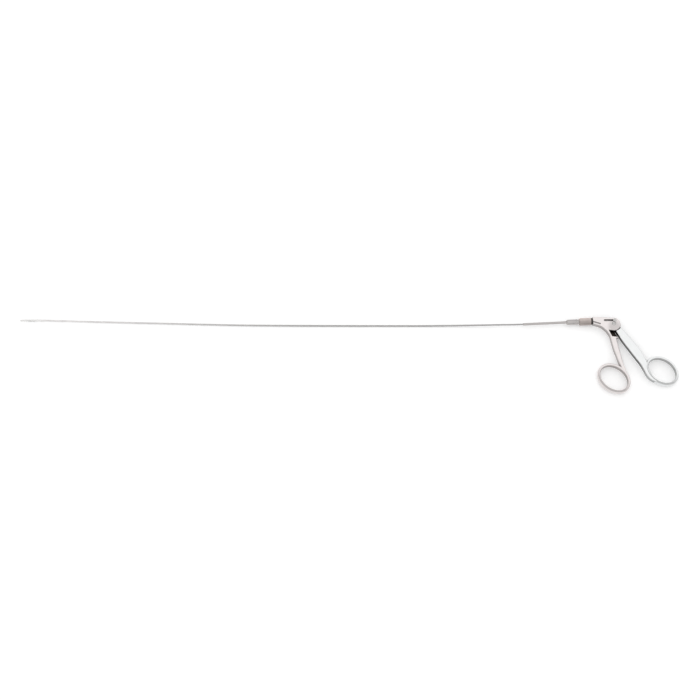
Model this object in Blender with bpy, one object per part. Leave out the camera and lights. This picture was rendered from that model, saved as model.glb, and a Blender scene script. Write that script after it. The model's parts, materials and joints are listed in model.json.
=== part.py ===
"""Flexible grasping forceps: a scissor handle, a flexible coil shaft and a pair of toothed jaws.

Metres, +Z up. The origin lies on the resting plane, under the handle pivot. The shaft runs
toward -X. The rear handle swings about the pivot screw, and its forked tongue pushes the
guide screw and the pull rod toward -X. The pull wire carries that push through the coil to
a pair of links, which spread the tails of the two jaws.
"""

import bpy
import bmesh
from math import atan2, cos, degrees, pi, radians, sin, sqrt, tan
from mathutils import Vector
from mathutils.geometry import convex_hull_2d

# Fits and clearances
SEAT = 0.00005          # between faces that are clamped, crimped or soldered together
RUN = 0.00005           # radial play of a pin in its hole
BORE_PLAY = 0.0002      # radial play of the pull rod in its bore
SWING_GAP = 0.0004      # between the handle's cheeks and the shoulder of the rear handle
CUT = 0.001             # how far a cutting shape reaches past the face that it cuts

# Handle body
HEAD_THICK = 0.0076
HEAD_BEVEL = 0.0011
CHEEK_RADIUS = 0.0068
CHEEK_DROP = 0.0005     # centre of the rounded cheek below the pivot
NECK_FACE = 0.0206      # from the pivot to the face that the seal ring sits on
NECK_WIDTH = 0.0072
FORK_SLOT = 0.0031
SLOT_REACH = 0.0099     # from the pivot to the closed end of the fork slot
RECESS_FOOT = 0.0138    # from the pivot down to the step where the front arm is whole again
SPIGOT_RADIUS = 0.00275
SPIGOT_LENGTH = 0.0066
GROOVE_WIDTH = 0.0012
GROOVE_DEPTH = 0.0005
GROOVE_HEIGHT = 0.0024  # above the pivot, where the groove leaves the neck's face
GROOVE_TIP = (-0.0142, -0.0003)
NECK_SHOULDER = 0.0130  # from the pivot to where the head's upper edge starts to round
# (x, y) along the lower cheek's right edge and the head's left edge, from the pivot
CHEEK_RIGHT = ((0.0016, -0.0078), (0.0025, -0.0094), (0.0036, -0.0122), (0.0030, -0.0145),
               (-0.0030, -0.0160))
HEAD_LEFT = ((-0.0044, -0.0125), (-0.0062, -0.0092), (-0.0083, -0.0064), (-0.0098, -0.0049),
             (-0.0113, -0.0036), (-0.0130, -0.0025), (-0.0150, -0.0017), (-0.0178, -0.0009))
CHEEK_BACK = (-0.0042, -0.0016, 0.0052)     # x, y and radius of the upper cheek's back
RECESS_EDGE = 0.0015
RECESS_TOP = 0.0047
# (x, y) along the wall of the front arm inside the fork, and behind the tongue
FORK_WALL = ((-0.00565, -0.0062), (-0.0040, -0.0105), (-0.0025, -0.0134))
FORK_BACK = ((-SLOT_REACH, 0.0100), (-SLOT_REACH, 0.0005), (-0.0064, -0.0040))
FORK_OPEN = 0.0155      # how far to the right the fork is cut
FORK_TOP = 0.0100
FORK_STEP = 0.0040      # right end of the step at the recess's foot

# Arms and finger rings
ARM_THICK = 0.0070
RING_THICK = 0.0072
RING_BAR = 0.0032
RING_LONG = 0.0159      # half lengths of the oval, to the middle of the bar
RING_SHORT = 0.0121
RING_TURN = -38         # degrees from +X to the long half
FRONT_RING = (-0.00275, -0.0557)
REAR_RING = (0.04465, -0.0482)
# (x, y, width) along the middle of each arm
FRONT_ARM = ((-0.0016, -0.0120, 0.0060), (-0.0005, -0.0180, 0.0058), (0.0010, -0.0250, 0.0056),
             (0.0027, -0.0315, 0.0050), (0.0044, -0.0380, 0.0045), (0.0060, -0.0430, 0.0040),
             (0.0076, -0.0470, 0.0034), (0.0094, -0.0510, 0.0022))
REAR_ARM = ((0.0036, -0.0040, 0.0062), (0.0056, -0.0067, 0.0068), (0.0112, -0.0146, 0.0079),
            (0.0173, -0.0232, 0.0088), (0.0230, -0.0320, 0.0089), (0.0268, -0.0400, 0.0074),
            (0.0292, -0.0466, 0.0056), (0.0313, -0.0519, 0.0048), (0.0345, -0.0562, 0.0038),
            (0.0385, -0.0588, 0.0022))

# Pivot screw and the tongue of the rear handle
PIVOT_RADIUS = 0.0013
PIVOT_HEAD_RADIUS = 0.0019
PIVOT_HEAD = 0.0009
PIVOT_FLOOR = 0.0009    # metal left under the blind hole
TONGUE_THICK = 0.0030
HUB_RADIUS = 0.0032
TONGUE_ROOT = (0.0066, -0.0077, 0.0026)   # x, y and radius where the tongue joins the arm
TINE_HALF = 0.0017
TINE_REACH = 0.0043

# Shaft axis inside the rigid stretch, pull rod and guide screw
AXIS_HEIGHT = 0.00445   # above the pivot, in line with the guide screw
AXIS_TILT = 2.67        # degrees
PIN_DROP = 0.00115      # guide screw below that axis
PIN_RADIUS = 0.00075
GUIDE_HEAD_RADIUS = 0.0017
GUIDE_HEAD = 0.00095
WINDOW_HALF = 0.00095
ROD_RADIUS = 0.00075
EYE_THICK = 0.0011
EYE_RADIUS = 0.00115
EYE_REACH = 0.0027      # from the guide screw to where the rod turns flat
ROD_END = 0.0240        # from the pivot to the rod's far end
ROD_SOCKET = 0.0020
DRIVER_SLOT = 0.0006

# Seal ring, union nut, ferrule and support tube
SEAL_THICK = 0.00135
SEAL_RADIUS = 0.00325
NUT_LENGTH = 0.0118
NUT_RADIUS = 0.00375
NUT_MOUTH = 0.0024
FLANGE = 0.0020
FERRULE_LENGTH = 0.01935
FERRULE_WAIST = 0.00225
FERRULE_RADIUS = 0.00265
FERRULE_TAPER = 0.0012
TUBE_SEAT = 0.0106
TUBE_RADIUS = 0.00125
TUBE_LENGTH = 0.05325

# Coil sheath and pull wire
SHEATH_RADIUS = 0.000825
SHEATH_WALL = 0.000325
SHEATH_IN_TUBE = 0.0100
WIRE_RADIUS = 0.00022
# (x, y, z) on the free stretch of the shaft, from the support tube to the tip
ROUTE = ((-0.0960, 0.0000, 0.00374), (-0.1120, -0.0001, 0.0034), (-0.1310, -0.0002, 0.0026),
         (-0.1500, -0.00027, 0.00175), (-0.1710, -0.00036, 0.00115), (-0.1900, -0.00043, 0.00089),
         (-0.2110, -0.00045, 0.00086), (-0.2500, -0.0004, 0.00086), (-0.2900, -0.0003, 0.00086),
         (-0.3290, -0.0001, 0.00086), (-0.3690, 0.0003, 0.00086), (-0.4090, 0.0012, 0.00086),
         (-0.4480, 0.0022, 0.00086), (-0.4880, 0.0032, 0.00086), (-0.5280, 0.0043, 0.00087),
         (-0.5470, 0.0049, 0.00092))
ROUTE_POINTS = 76

# Tip: sleeve, clevis and linkage
TIP = (-0.5780, 0.0053)     # the jaws' pivot
SLEEVE_RADIUS = 0.000975
SLEEVE_LENGTH = 0.0058
CLEVIS_RADIUS = 0.00085
CLEVIS_SLOT = 0.0011
CLEVIS_REACH = 0.0063       # from the jaws' pivot back to the sleeve
CLEVIS_STEM = 0.0025
CLEVIS_STEM_RADIUS = 0.00081
SLEEVE_BORE = 0.00086
WIRE_BORE = 0.00032
TAIL = 0.0025               # jaws' pivot to the rivet in the tail
LINK = 0.0029               # rivet to the wire-end pin
TAIL_ANGLE = 5              # degrees off the axis when closed
JAW_SWING = 48              # degrees that each jaw opens
TAIL_GAP = 0.00003          # from the middle plane to the tail, and between tail and link
TAIL_THICK = 0.0002
LINK_THICK = 0.00018
EYE_HALF = 0.00056
RIVET_RADIUS = 0.00022
RIVET_HEAD = 0.00034
RIVET_HEAD_THICK = 0.00006
PLAY = 0.00003
END_PIN_RADIUS = 0.0002
END_BLOCK_THICK = 0.00044
END_BLOCK_HALF = 0.0005

# Jaws
JAW_RADIUS = 0.00083
JAW_LENGTH = 0.00885
JAW_ROOT = 0.0009           # from the pivot to the start of the half round
JAW_GROOVE = 0.00045
GROOVE_START = 0.0016
GROOVE_END = 0.0082
TEETH = 6
TOOTH_START = 0.0018
TOOTH_PITCH = 0.00112
TOOTH_HEIGHT = 0.0004
BITE_GAP = 0.00003

MID = HEAD_THICK / 2
LEVER_ARM = AXIS_HEIGHT - PIN_DROP
TIP_Z = SLEEVE_RADIUS


def wire_end(angle):
    """How far the wire-end pin lies behind the jaws' pivot at this angle of the tail."""
    return TAIL * cos(radians(angle)) + sqrt(LINK ** 2 - (TAIL * sin(radians(angle))) ** 2)


WIRE_END = wire_end(TAIL_ANGLE)
STROKE = WIRE_END - wire_end(TAIL_ANGLE + JAW_SWING)
PIN_X = STROKE / 2
LEVER_SWING = 2 * degrees(atan2(PIN_X, LEVER_ARM))
NOTCH_ANGLE = atan2(LEVER_ARM, PIN_X)
TILT = radians(AXIS_TILT)


def axis_y(x):
    return AXIS_HEIGHT + (x - PIN_X) * tan(TILT)


def along_axis(x):
    """Distance along the tilted axis from the guide screw to the point at this x."""
    return (x - PIN_X) / cos(TILT)


def clear_scene():
    for obj in list(bpy.data.objects):
        bpy.data.objects.remove(obj, do_unlink=True)


def metal(name, colour, roughness, metallic=1.0):
    mat = bpy.data.materials.new(name)
    mat.use_nodes = True
    shader = mat.node_tree.nodes["Principled BSDF"]
    shader.inputs["Base Color"].default_value = (*colour, 1.0)
    shader.inputs["Roughness"].default_value = roughness
    shader.inputs["Metallic"].default_value = metallic
    mat.diffuse_color = (*colour, 1.0)
    return mat


def place(name, bm, mat=None, at=(0, 0, 0), turn=(0, 0, 0), parent=None):
    """The mesh as a named object. Without a material it is a cutter or a shape to join."""
    bmesh.ops.recalc_face_normals(bm, faces=bm.faces)
    mesh = bpy.data.meshes.new(name)
    bm.to_mesh(mesh)
    bm.free()
    mesh.shade_smooth()
    mesh.set_sharp_from_angle(angle=radians(35))
    obj = bpy.data.objects.new(name, mesh)
    bpy.context.scene.collection.objects.link(obj)
    settle(obj, mat, at, turn, parent)
    return obj


def settle(obj, mat, at=(0, 0, 0), turn=(0, 0, 0), parent=None):
    obj.location = at
    obj.rotation_euler = turn
    obj.parent = parent
    if mat is None:
        obj.hide_render = True
        obj.display_type = "WIRE"
    else:
        obj.data.materials.append(mat)


def empty(name, at, turn=(0, 0, 0)):
    obj = bpy.data.objects.new(name, None)
    obj.empty_display_size = 0.002
    obj.location = at
    obj.rotation_euler = turn
    bpy.context.scene.collection.objects.link(obj)
    return obj


def combine(obj, other, operation="DIFFERENCE"):
    mod = obj.modifiers.new(operation.title() + " " + other.name, "BOOLEAN")
    mod.operation = operation
    mod.object = other
    mod.solver = "EXACT"


def turned(profile, sides, upright=False):
    """(distance, radius) points spun about X, or about Z when upright."""
    bm = bmesh.new()
    verts = [bm.verts.new((r, 0, x) if upright else (x, r, 0)) for x, r in profile]
    ends_on_axis = profile[0][1] == 0 and profile[-1][1] == 0
    pairs = list(zip(verts, verts[1:])) + ([] if ends_on_axis else [(verts[-1], verts[0])])
    edges = [bm.edges.new(pair) for pair in pairs]
    bmesh.ops.spin(bm, geom=verts + edges, cent=(0, 0, 0), dvec=(0, 0, 0), angle=2 * pi,
                   axis=(0, 0, 1) if upright else (1, 0, 0), steps=sides, use_merge=True)
    bmesh.ops.remove_doubles(bm, verts=bm.verts, dist=1e-8)
    return bm


def cylinder(start, end, radius, sides, upright=False):
    return turned([(start, 0), (start, radius), (end, radius), (end, 0)], sides, upright)


def plate(outline, low, high, round_top=0.0, round_low=0.0):
    """A closed outline in XY, given thickness from low to high, with rounded rims if asked."""
    bm = bmesh.new()
    face = bm.faces.new([bm.verts.new((x, y, low)) for x, y in outline])
    grown = bmesh.ops.extrude_face_region(bm, geom=[face])
    top = [v for v in grown["geom"] if isinstance(v, bmesh.types.BMVert)]
    bmesh.ops.translate(bm, verts=top, vec=(0, 0, high - low))
    for height, width in ((high, round_top), (low, round_low)):
        if width:
            rim = [e for e in bm.edges if all(abs(v.co.z - height) < 1e-6 for v in e.verts)]
            bmesh.ops.bevel(bm, geom=rim, offset=width, segments=3, profile=0.5,
                            affect="EDGES", clamp_overlap=True)
    return bm


def arc(centre, radius, start, end, steps):
    """Points on a circle, both ends included, with the angles in degrees."""
    angles = [radians(start + (end - start) * i / steps) for i in range(steps + 1)]
    return [(centre[0] + radius * cos(a), centre[1] + radius * sin(a)) for a in angles]


def hull(circles, sides=24):
    """The outline stretched round circles given as (x, y, radius)."""
    points = [p for x, y, r in circles for p in arc((x, y), r, 0, 360 - 360 / sides, sides - 1)]
    return [points[i] for i in convex_hull_2d([Vector(p) for p in points])]


def oval_section(x, y, heading, half_wide, half_high, power, sides):
    """A rounded section across a bar that runs along the heading in the XY plane."""
    across = Vector((-sin(heading), cos(heading), 0))
    points = []
    for i in range(sides):
        c, s = cos(2 * pi * i / sides), sin(2 * pi * i / sides)
        wide = half_wide * (abs(c) ** (2 / power)) * (1 if c > 0 else -1)
        high = half_high * (abs(s) ** (2 / power)) * (1 if s > 0 else -1)
        points.append(Vector((x, y, MID + high)) + across * wide)
    return points


def loft(sections, closed=False):
    """Skins neighbouring sections, with a cap on each open end."""
    bm = bmesh.new()
    rings = [[bm.verts.new(p) for p in section] for section in sections]
    if closed:
        rings.append(rings[0])
    for a, b in zip(rings, rings[1:]):
        for i in range(len(a)):
            j = (i + 1) % len(a)
            bm.faces.new((a[i], a[j], b[j], b[i]))
    if not closed:
        bm.faces.new(rings[0])
        bm.faces.new(rings[-1])
    return bm


def smooth_at(points, x):
    """The height of a smooth curve through (x, value) points, which run toward -X."""
    i = max(1, min(len(points) - 1, sum(p[0] > x for p in points)))
    slopes = []
    for k in (i - 1, i):
        before, after = points[max(k - 1, 0)], points[min(k + 1, len(points) - 1)]
        slopes.append((after[1] - before[1]) / (after[0] - before[0]))
    (x0, y0), (x1, y1) = points[i - 1], points[i]
    t, h = (x - x0) / (x1 - x0), x1 - x0
    return (y0 * (1 + 2 * t) * (1 - t) ** 2 + slopes[0] * h * t * (1 - t) ** 2
            + y1 * t * t * (3 - 2 * t) + slopes[1] * h * t * t * (t - 1))


def arm_loft(path, root_thick, steps=4, power=4.2, sides=16):
    """A bar along (x, y, width) points, with the arm's thickness from its second point on."""
    fine = []
    for i in range(len(path) - 1):
        for s in range(steps if i < len(path) - 2 else steps + 1):
            t = s / steps
            p = [path[max(i - 1, 0)], path[i], path[i + 1], path[min(i + 2, len(path) - 1)]]
            fine.append([0.5 * (2 * b + (c - a) * t + (2 * a - 5 * b + 4 * c - d) * t * t
                                + (3 * b - a - 3 * c + d) * t ** 3) for a, b, c, d in zip(*p)])
    sections = []
    for i, (x, y, width) in enumerate(fine):
        before, after = fine[max(i - 1, 0)], fine[min(i + 1, len(fine) - 1)]
        heading = atan2(after[1] - before[1], after[0] - before[0])
        thick = ARM_THICK + (root_thick - ARM_THICK) * max(0, min(1, 2 - i / steps))
        sections.append(oval_section(x, y, heading, width / 2, thick / 2, power, sides))
    return loft(sections)


def ring_loft(centre, steps=36, sides=12):
    """A finger ring: an oval bar, flat side in."""
    turn, sections = radians(RING_TURN), []
    for i in range(steps):
        a = 2 * pi * i / steps
        u, v = RING_LONG * cos(a), RING_SHORT * sin(a)
        du, dv = -RING_LONG * sin(a), RING_SHORT * cos(a)
        x, y = u * cos(turn) - v * sin(turn), u * sin(turn) + v * cos(turn)
        heading = atan2(du * sin(turn) + dv * cos(turn), du * cos(turn) - dv * sin(turn))
        sections.append(oval_section(centre[0] + x, centre[1] + y, heading, RING_BAR / 2,
                                     RING_THICK / 2, 2.4, sides))
    return loft(sections, closed=True)


def head_outline():
    """The head in plan: neck, lower cheek round the pivot, and the root of the front arm."""
    c, s = cos(TILT), sin(TILT)
    y = axis_y(-NECK_FACE)
    top = (-NECK_FACE - s * NECK_WIDTH / 2, y + c * NECK_WIDTH / 2)
    low = (-NECK_FACE + s * NECK_WIDTH / 2, y - c * NECK_WIDTH / 2)
    cheek = arc((0, -CHEEK_DROP), CHEEK_RADIUS, 102, -70, 14)
    shoulder = (-NECK_SHOULDER, top[1] - 2 * SEAT)
    return [top, shoulder] + cheek + list(CHEEK_RIGHT) + list(HEAD_LEFT) + [low]


def cheek_outline():
    """The upper cheek: round the pivot, and back over the wall of the front arm."""
    return hull([(0, -CHEEK_DROP, CHEEK_RADIUS), CHEEK_BACK], 36)


def recess_outline():
    """Where all above the lower cheek is cut away, before the upper cheek goes on."""
    start = [(RECESS_EDGE, FORK_TOP), (RECESS_EDGE, -RECESS_TOP), (-RECESS_TOP, -RECESS_TOP)]
    return start + list(FORK_WALL) + fork_foot()


def fork_foot():
    """The last points of both fork outlines: along the step at the foot, and up on the right."""
    low = -RECESS_FOOT - SWING_GAP
    return [(FORK_STEP, low), (FORK_OPEN, low), (FORK_OPEN, FORK_TOP)]


def slot_outline():
    """The fork slot in plan, open to the right, upward and downward."""
    return list(FORK_BACK) + list(FORK_WALL) + fork_foot()


def front_handle(mat, axis):
    outline = plate(head_outline(), 0, HEAD_THICK, HEAD_BEVEL, HEAD_BEVEL)
    body = place("front_handle", outline, mat)
    at_neck = along_axis(-NECK_FACE)
    spigot = cylinder(at_neck - SPIGOT_LENGTH, at_neck + CUT, SPIGOT_RADIUS, 24)
    combine(body, place("join_front_arm", arm_loft(FRONT_ARM, HEAD_THICK)), "UNION")
    combine(body, place("join_front_ring", ring_loft(FRONT_RING)), "UNION")
    combine(body, place("join_spigot", spigot, parent=axis), "UNION")
    high = HEAD_THICK + CUT
    floor, ceiling = MID - FORK_SLOT / 2, MID + FORK_SLOT / 2
    combine(body, place("cut_recess", plate(recess_outline(), floor, high)))
    combine(body, place("cut_fork_slot", plate(slot_outline(), floor, ceiling)))
    cheek = plate(cheek_outline(), ceiling, HEAD_THICK, HEAD_BEVEL)
    combine(body, place("join_cheek", cheek), "UNION")
    window = hull([(-SLOT_REACH + WINDOW_HALF, LEVER_ARM, WINDOW_HALF),
                   (PIN_X + PIN_RADIUS + BORE_PLAY, LEVER_ARM, WINDOW_HALF)])
    groove = hull([(-NECK_FACE - 2 * GROOVE_WIDTH, GROOVE_HEIGHT, GROOVE_WIDTH / 2),
                   (*GROOVE_TIP, GROOVE_WIDTH / 2)], 12)
    hole = PIVOT_RADIUS + RUN
    cuts = [
        place("cut_window", plate(window, MID, high)),
        place("cut_groove", plate(groove, HEAD_THICK - GROOVE_DEPTH, high)),
        place("cut_pivot_hole", cylinder(PIVOT_FLOOR, high, hole, 24, True)),
        place("cut_screw_seat", cylinder(HEAD_THICK - PIVOT_HEAD - SEAT, high,
                                         PIVOT_HEAD_RADIUS + 2 * RUN, 24, True)),
        place("cut_rod_bore", cylinder(at_neck - SPIGOT_LENGTH - CUT, along_axis(-SLOT_REACH) + CUT,
                                       ROD_RADIUS + BORE_PLAY, 16), parent=axis),
    ]
    for other in cuts:
        combine(body, other)
    return body


def tongue_outline():
    """The hub, its arm toward the rear handle, and the notched tab for the guide screw."""
    c, s = cos(NOTCH_ANGLE), sin(NOTCH_ANGLE)

    def to_notch(p):
        return p[0] * s - p[1] * c, p[0] * c + p[1] * s

    def from_notch(p):
        return p[0] * s + p[1] * c, -p[0] * c + p[1] * s

    outline = [to_notch(p) for p in hull([(0, 0, HUB_RADIUS), TONGUE_ROOT], 32)]
    outline.sort(key=lambda p: atan2(p[1], p[0]) % (2 * pi))
    shoulder = sqrt(HUB_RADIUS ** 2 - TINE_HALF ** 2)
    notch, depth = PIN_RADIUS + RUN, LEVER_ARM - PIN_RADIUS - 2 * RUN
    tab = [(TINE_HALF, shoulder), (TINE_HALF, TINE_REACH), (notch, TINE_REACH), (notch, depth)]
    tab += [(-x, y) for x, y in reversed(tab)]
    right = [p for p in outline if not (p[1] > 0 and p[0] < TINE_HALF * 1.05)]
    low = [p for p in right if p[1] <= 0]
    high = [p for p in right if p[1] > 0]
    left = [p for p in outline if p[1] > 0 and p[0] < -TINE_HALF * 1.05]
    return [from_notch(p) for p in high + tab + left + low]


def rear_handle(mat):
    """Drawn with the pivot at the origin, so that the object turns about it."""
    body = place("rear_handle", arm_loft(REAR_ARM, ARM_THICK), mat)
    turn_room = CHEEK_RADIUS + CHEEK_DROP + SWING_GAP
    clear = place("cut_shoulder", cylinder(-CUT, HEAD_THICK + CUT, turn_room, 48, True))
    ring = place("join_rear_ring", ring_loft(REAR_RING))
    half = TONGUE_THICK / 2
    tongue = place("join_tongue", plate(tongue_outline(), MID - half, MID + half))
    reach, gap = TINE_REACH + CUT, EYE_THICK / 2 + 1.4 * RUN
    foot = LEVER_ARM - EYE_RADIUS - 2 * RUN
    split = plate([(-HUB_RADIUS - CUT, foot), (HUB_RADIUS + CUT, foot),
                   (HUB_RADIUS + CUT, reach), (-HUB_RADIUS - CUT, reach)], MID - gap, MID + gap)
    split = place("cut_tine_gap", split, turn=(0, 0, NOTCH_ANGLE - pi / 2))
    hole = place("cut_hub_hole", cylinder(-CUT, HEAD_THICK + CUT, PIVOT_RADIUS + RUN, 24, True))
    combine(body, clear)
    combine(body, ring, "UNION")
    combine(body, tongue, "UNION")
    combine(body, split)
    combine(body, hole)
    return body


def screw(name, mat, at, foot, head_foot, head_top, radius, head_radius, slot_turn):
    """An upright screw with a flat slotted head; the heights are world heights."""
    edge = (head_top - head_foot) * 0.2
    profile = [(foot, 0), (foot, radius), (head_foot, radius), (head_foot, head_radius),
               (head_top - edge, head_radius), (head_top, head_radius - edge), (head_top, 0)]
    body = place(name, turned(profile, 24, True), mat, at)
    half, reach = DRIVER_SLOT / 2, head_radius + CUT
    groove = plate([(-reach, -half), (reach, -half), (reach, half), (-reach, half)],
                   head_top - DRIVER_SLOT * 0.7, head_top + CUT)
    combine(body, place("cut_driver_" + name, groove, at=at, turn=(0, 0, radians(slot_turn))))
    return body


def pull_rod(mat, axis):
    """Round from the wire to the flattened eye that the guide screw passes through."""
    end, flat = along_axis(-ROD_END), -EYE_REACH
    profile = [(end, 0), (end, ROD_RADIUS), (flat + ROD_RADIUS * 0.4, ROD_RADIUS),
               (flat + ROD_RADIUS * 0.4, 0)]
    rod = place("pull_rod", turned(profile, 16), mat, parent=axis)
    eye = hull([(PIN_X, LEVER_ARM, EYE_RADIUS),
                (PIN_X - EYE_REACH, axis_y(PIN_X - EYE_REACH), ROD_RADIUS * 0.97)])
    combine(rod, place("join_rod_eye", plate(eye, MID - EYE_THICK / 2, MID + EYE_THICK / 2)),
            "UNION")
    combine(rod, place("cut_rod_eye", cylinder(MID - EYE_THICK, MID + EYE_THICK,
                                               PIN_RADIUS + RUN, 16, True),
                       at=(PIN_X, LEVER_ARM, 0)))
    combine(rod, place("cut_rod_socket", cylinder(end - CUT, end + ROD_SOCKET,
                                                  WIRE_RADIUS + RUN, 12), parent=axis))
    return rod


def neck_pieces(seal_mat, nut_mat, steel, axis):
    """Seal ring, union nut, ferrule and support tube, in line on the tilted axis."""
    bore = SPIGOT_RADIUS + RUN
    x = along_axis(-NECK_FACE) - SEAT
    place("seal_ring", turned([(x, bore), (x, SEAL_RADIUS), (x - SEAL_THICK, SEAL_RADIUS),
                               (x - SEAL_THICK, bore)], 24), seal_mat, parent=axis)
    x -= SEAL_THICK + SEAT
    spigot_end = along_axis(-NECK_FACE) - SPIGOT_LENGTH
    step = spigot_end - FLANGE - 2 * SEAT
    far = x - NUT_LENGTH
    round_off = NUT_RADIUS - NUT_MOUTH - 0.0004
    nose = [(far + round_off * (1 - cos(a)), NUT_RADIUS - round_off * (1 - sin(a)))
            for a in (radians(0), radians(30), radians(60), radians(90))]
    nut = [(x, bore), (x, NUT_RADIUS - 0.0003), (x - 0.0003, NUT_RADIUS)] + nose[::-1]
    nut += [(far, NUT_MOUTH), (step, NUT_MOUTH), (step, bore)]
    place("union_nut", turned(nut, 32), nut_mat, parent=axis)
    x = spigot_end - SEAT
    far, seat = x - FERRULE_LENGTH, x - FERRULE_LENGTH + TUBE_SEAT
    waist = nose[0][0] - 2 * FERRULE_TAPER / 5
    wide, tube_hole = ROD_RADIUS + BORE_PLAY, TUBE_RADIUS + RUN
    ferrule = [(x, wide), (x, SPIGOT_RADIUS), (x - FLANGE, SPIGOT_RADIUS),
               (x - FLANGE, FERRULE_WAIST), (waist, FERRULE_WAIST),
               (waist - FERRULE_TAPER, FERRULE_RADIUS), (far + FERRULE_TAPER, FERRULE_RADIUS),
               (far, tube_hole + 0.0004), (far, tube_hole), (seat, tube_hole), (seat, wide)]
    place("ferrule", turned(ferrule, 24), steel, parent=axis)
    x = seat - SEAT
    hole = SHEATH_RADIUS + 2 * RUN
    tube = [(x, hole), (x, TUBE_RADIUS), (x - TUBE_LENGTH + 0.0003, TUBE_RADIUS),
            (x - TUBE_LENGTH, TUBE_RADIUS - 0.0002), (x - TUBE_LENGTH, hole)]
    place("support_tube", turned(tube, 16), steel, parent=axis)
    return x - TUBE_LENGTH


def tube_along(name, points, radius, mat, wall=0.0):
    """A round tube on a poly spline: solid with filled caps, or hollow where a wall is given."""
    curve = bpy.data.curves.new(name, "CURVE")
    curve.dimensions, curve.bevel_depth, curve.bevel_resolution = "3D", radius, 2
    curve.use_fill_caps = wall == 0.0
    spline = curve.splines.new("POLY")
    spline.points.add(len(points) - 1)
    for point, co in zip(spline.points, points):
        point.co = (*co, 1.0)
    spline.use_smooth = True
    obj = bpy.data.objects.new(name, curve)
    bpy.context.scene.collection.objects.link(obj)
    settle(obj, mat)
    if wall:
        solid = obj.modifiers.new("Wall", "SOLIDIFY")
        solid.thickness, solid.offset, solid.use_rim = wall, -1, True
    return obj


def shaft_route(tube_end):
    """A function of x for the shaft's middle line: straight in the tube, free, straight in the tip."""
    last = PIN_X + tube_end * cos(TILT)
    inside = [(x, axis_y(x), MID) for x in (last + 2 * SHEATH_IN_TUBE, last + SHEATH_IN_TUBE, last)]
    sleeve = TIP[0] + CLEVIS_REACH + SLEEVE_LENGTH
    tip = [(sleeve + SLEEVE_LENGTH / 2, TIP[1], TIP_Z), (sleeve, TIP[1], TIP_Z), (*TIP, TIP_Z)]
    points = inside + [p for p in ROUTE] + tip
    side, height = [(p[0], p[1]) for p in points], [(p[0], p[2]) for p in points]

    def at(x):
        if x > last + SHEATH_IN_TUBE:
            return x, axis_y(x), MID
        if x < sleeve:
            return x, TIP[1], TIP_Z
        return x, smooth_at(side, x), smooth_at(height, x)

    return at, last


def shaft(sheath_mat, wire_mat, tube_end):
    at, tube_x = shaft_route(tube_end)
    start = tube_x + SHEATH_IN_TUBE
    sleeve = TIP[0] + CLEVIS_REACH
    end = sleeve + CLEVIS_STEM + 4 * SEAT
    stations = [start + (end - start) * i / (ROUTE_POINTS - 1) for i in range(ROUTE_POINTS)]
    tube_along("coil_sheath", [at(x) for x in stations], SHEATH_RADIUS, sheath_mat, SHEATH_WALL)
    first = -ROD_END + (ROD_SOCKET - SEAT) * cos(TILT)
    last = TIP[0] + WIRE_END + END_BLOCK_HALF + 2 * PLAY
    inner = [x for x in stations if x > last + 2 * SHEATH_RADIUS]
    tube_along("pull_wire", [at(x) for x in [first] + inner + [last]], WIRE_RADIUS, wire_mat)


def distal_sleeve(mat):
    edge = 0.0001
    far, near = CLEVIS_REACH + SEAT, CLEVIS_REACH + SEAT + SLEEVE_LENGTH
    profile = [(near, SLEEVE_BORE), (near, SLEEVE_RADIUS - edge), (near - edge, SLEEVE_RADIUS),
               (far + edge, SLEEVE_RADIUS), (far, SLEEVE_RADIUS - edge), (far, SLEEVE_BORE)]
    place("distal_sleeve", turned(profile, 20), mat, (*TIP, TIP_Z))


def clevis(mat):
    """A round body with a through slot, two ears with a domed end and a stem for the sleeve."""
    dome = [(-CLEVIS_RADIUS * cos(a), CLEVIS_RADIUS * sin(a))
            for a in (radians(d) for d in (0, 20, 40, 60, 80))]
    stem = CLEVIS_REACH + CLEVIS_STEM
    profile = dome + [(0.0002, CLEVIS_RADIUS), (CLEVIS_REACH, CLEVIS_RADIUS),
                      (CLEVIS_REACH, CLEVIS_STEM_RADIUS), (stem, CLEVIS_STEM_RADIUS), (stem, 0)]
    at = (*TIP, TIP_Z)
    body = place("clevis", turned(profile, 20), mat, at)
    back, side = WIRE_END + END_BLOCK_HALF + 5 * PLAY, CLEVIS_RADIUS + CUT
    slot = plate([(-side, -side), (back, -side), (back, side), (-side, side)],
                 -CLEVIS_SLOT / 2, CLEVIS_SLOT / 2)
    combine(body, place("cut_clevis_slot", slot, at=at))
    combine(body, place("cut_wire_bore", cylinder(back - CUT, stem + CUT, WIRE_BORE, 12), at=at))
    combine(body, place("cut_clevis_pin", cylinder(-side, side, RIVET_RADIUS + PLAY, 12, True),
                        at=at))
    place("jaw_pivot_pin", cylinder(-CLEVIS_RADIUS * 0.9, CLEVIS_RADIUS * 0.9, RIVET_RADIUS, 12,
                                    True), mat, at)
    return body


def bite_line(side):
    """The toothed parting line, from the root to past the nose, on one jaw's side of it."""
    gap, line = side * BITE_GAP, [(-(JAW_ROOT - CUT), side * BITE_GAP)]
    line.append((-TOOTH_START, gap))
    for i in range(TEETH):
        x = TOOTH_START + i * TOOTH_PITCH
        line.append((-(x + TOOTH_PITCH * 0.25), TOOTH_HEIGHT / 2 + gap))
        line.append((-(x + TOOTH_PITCH * 0.75), -TOOTH_HEIGHT / 2 + gap))
    line.append((-(TOOTH_START + TEETH * TOOTH_PITCH), gap))
    line.append((-(JAW_LENGTH + CUT), gap))
    return line


def tail_end(side):
    """The rivet in the tail of the jaw that opens toward +Y (side 1) or -Y (side -1)."""
    return TAIL * cos(radians(TAIL_ANGLE)), -side * TAIL * sin(radians(TAIL_ANGLE))


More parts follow.
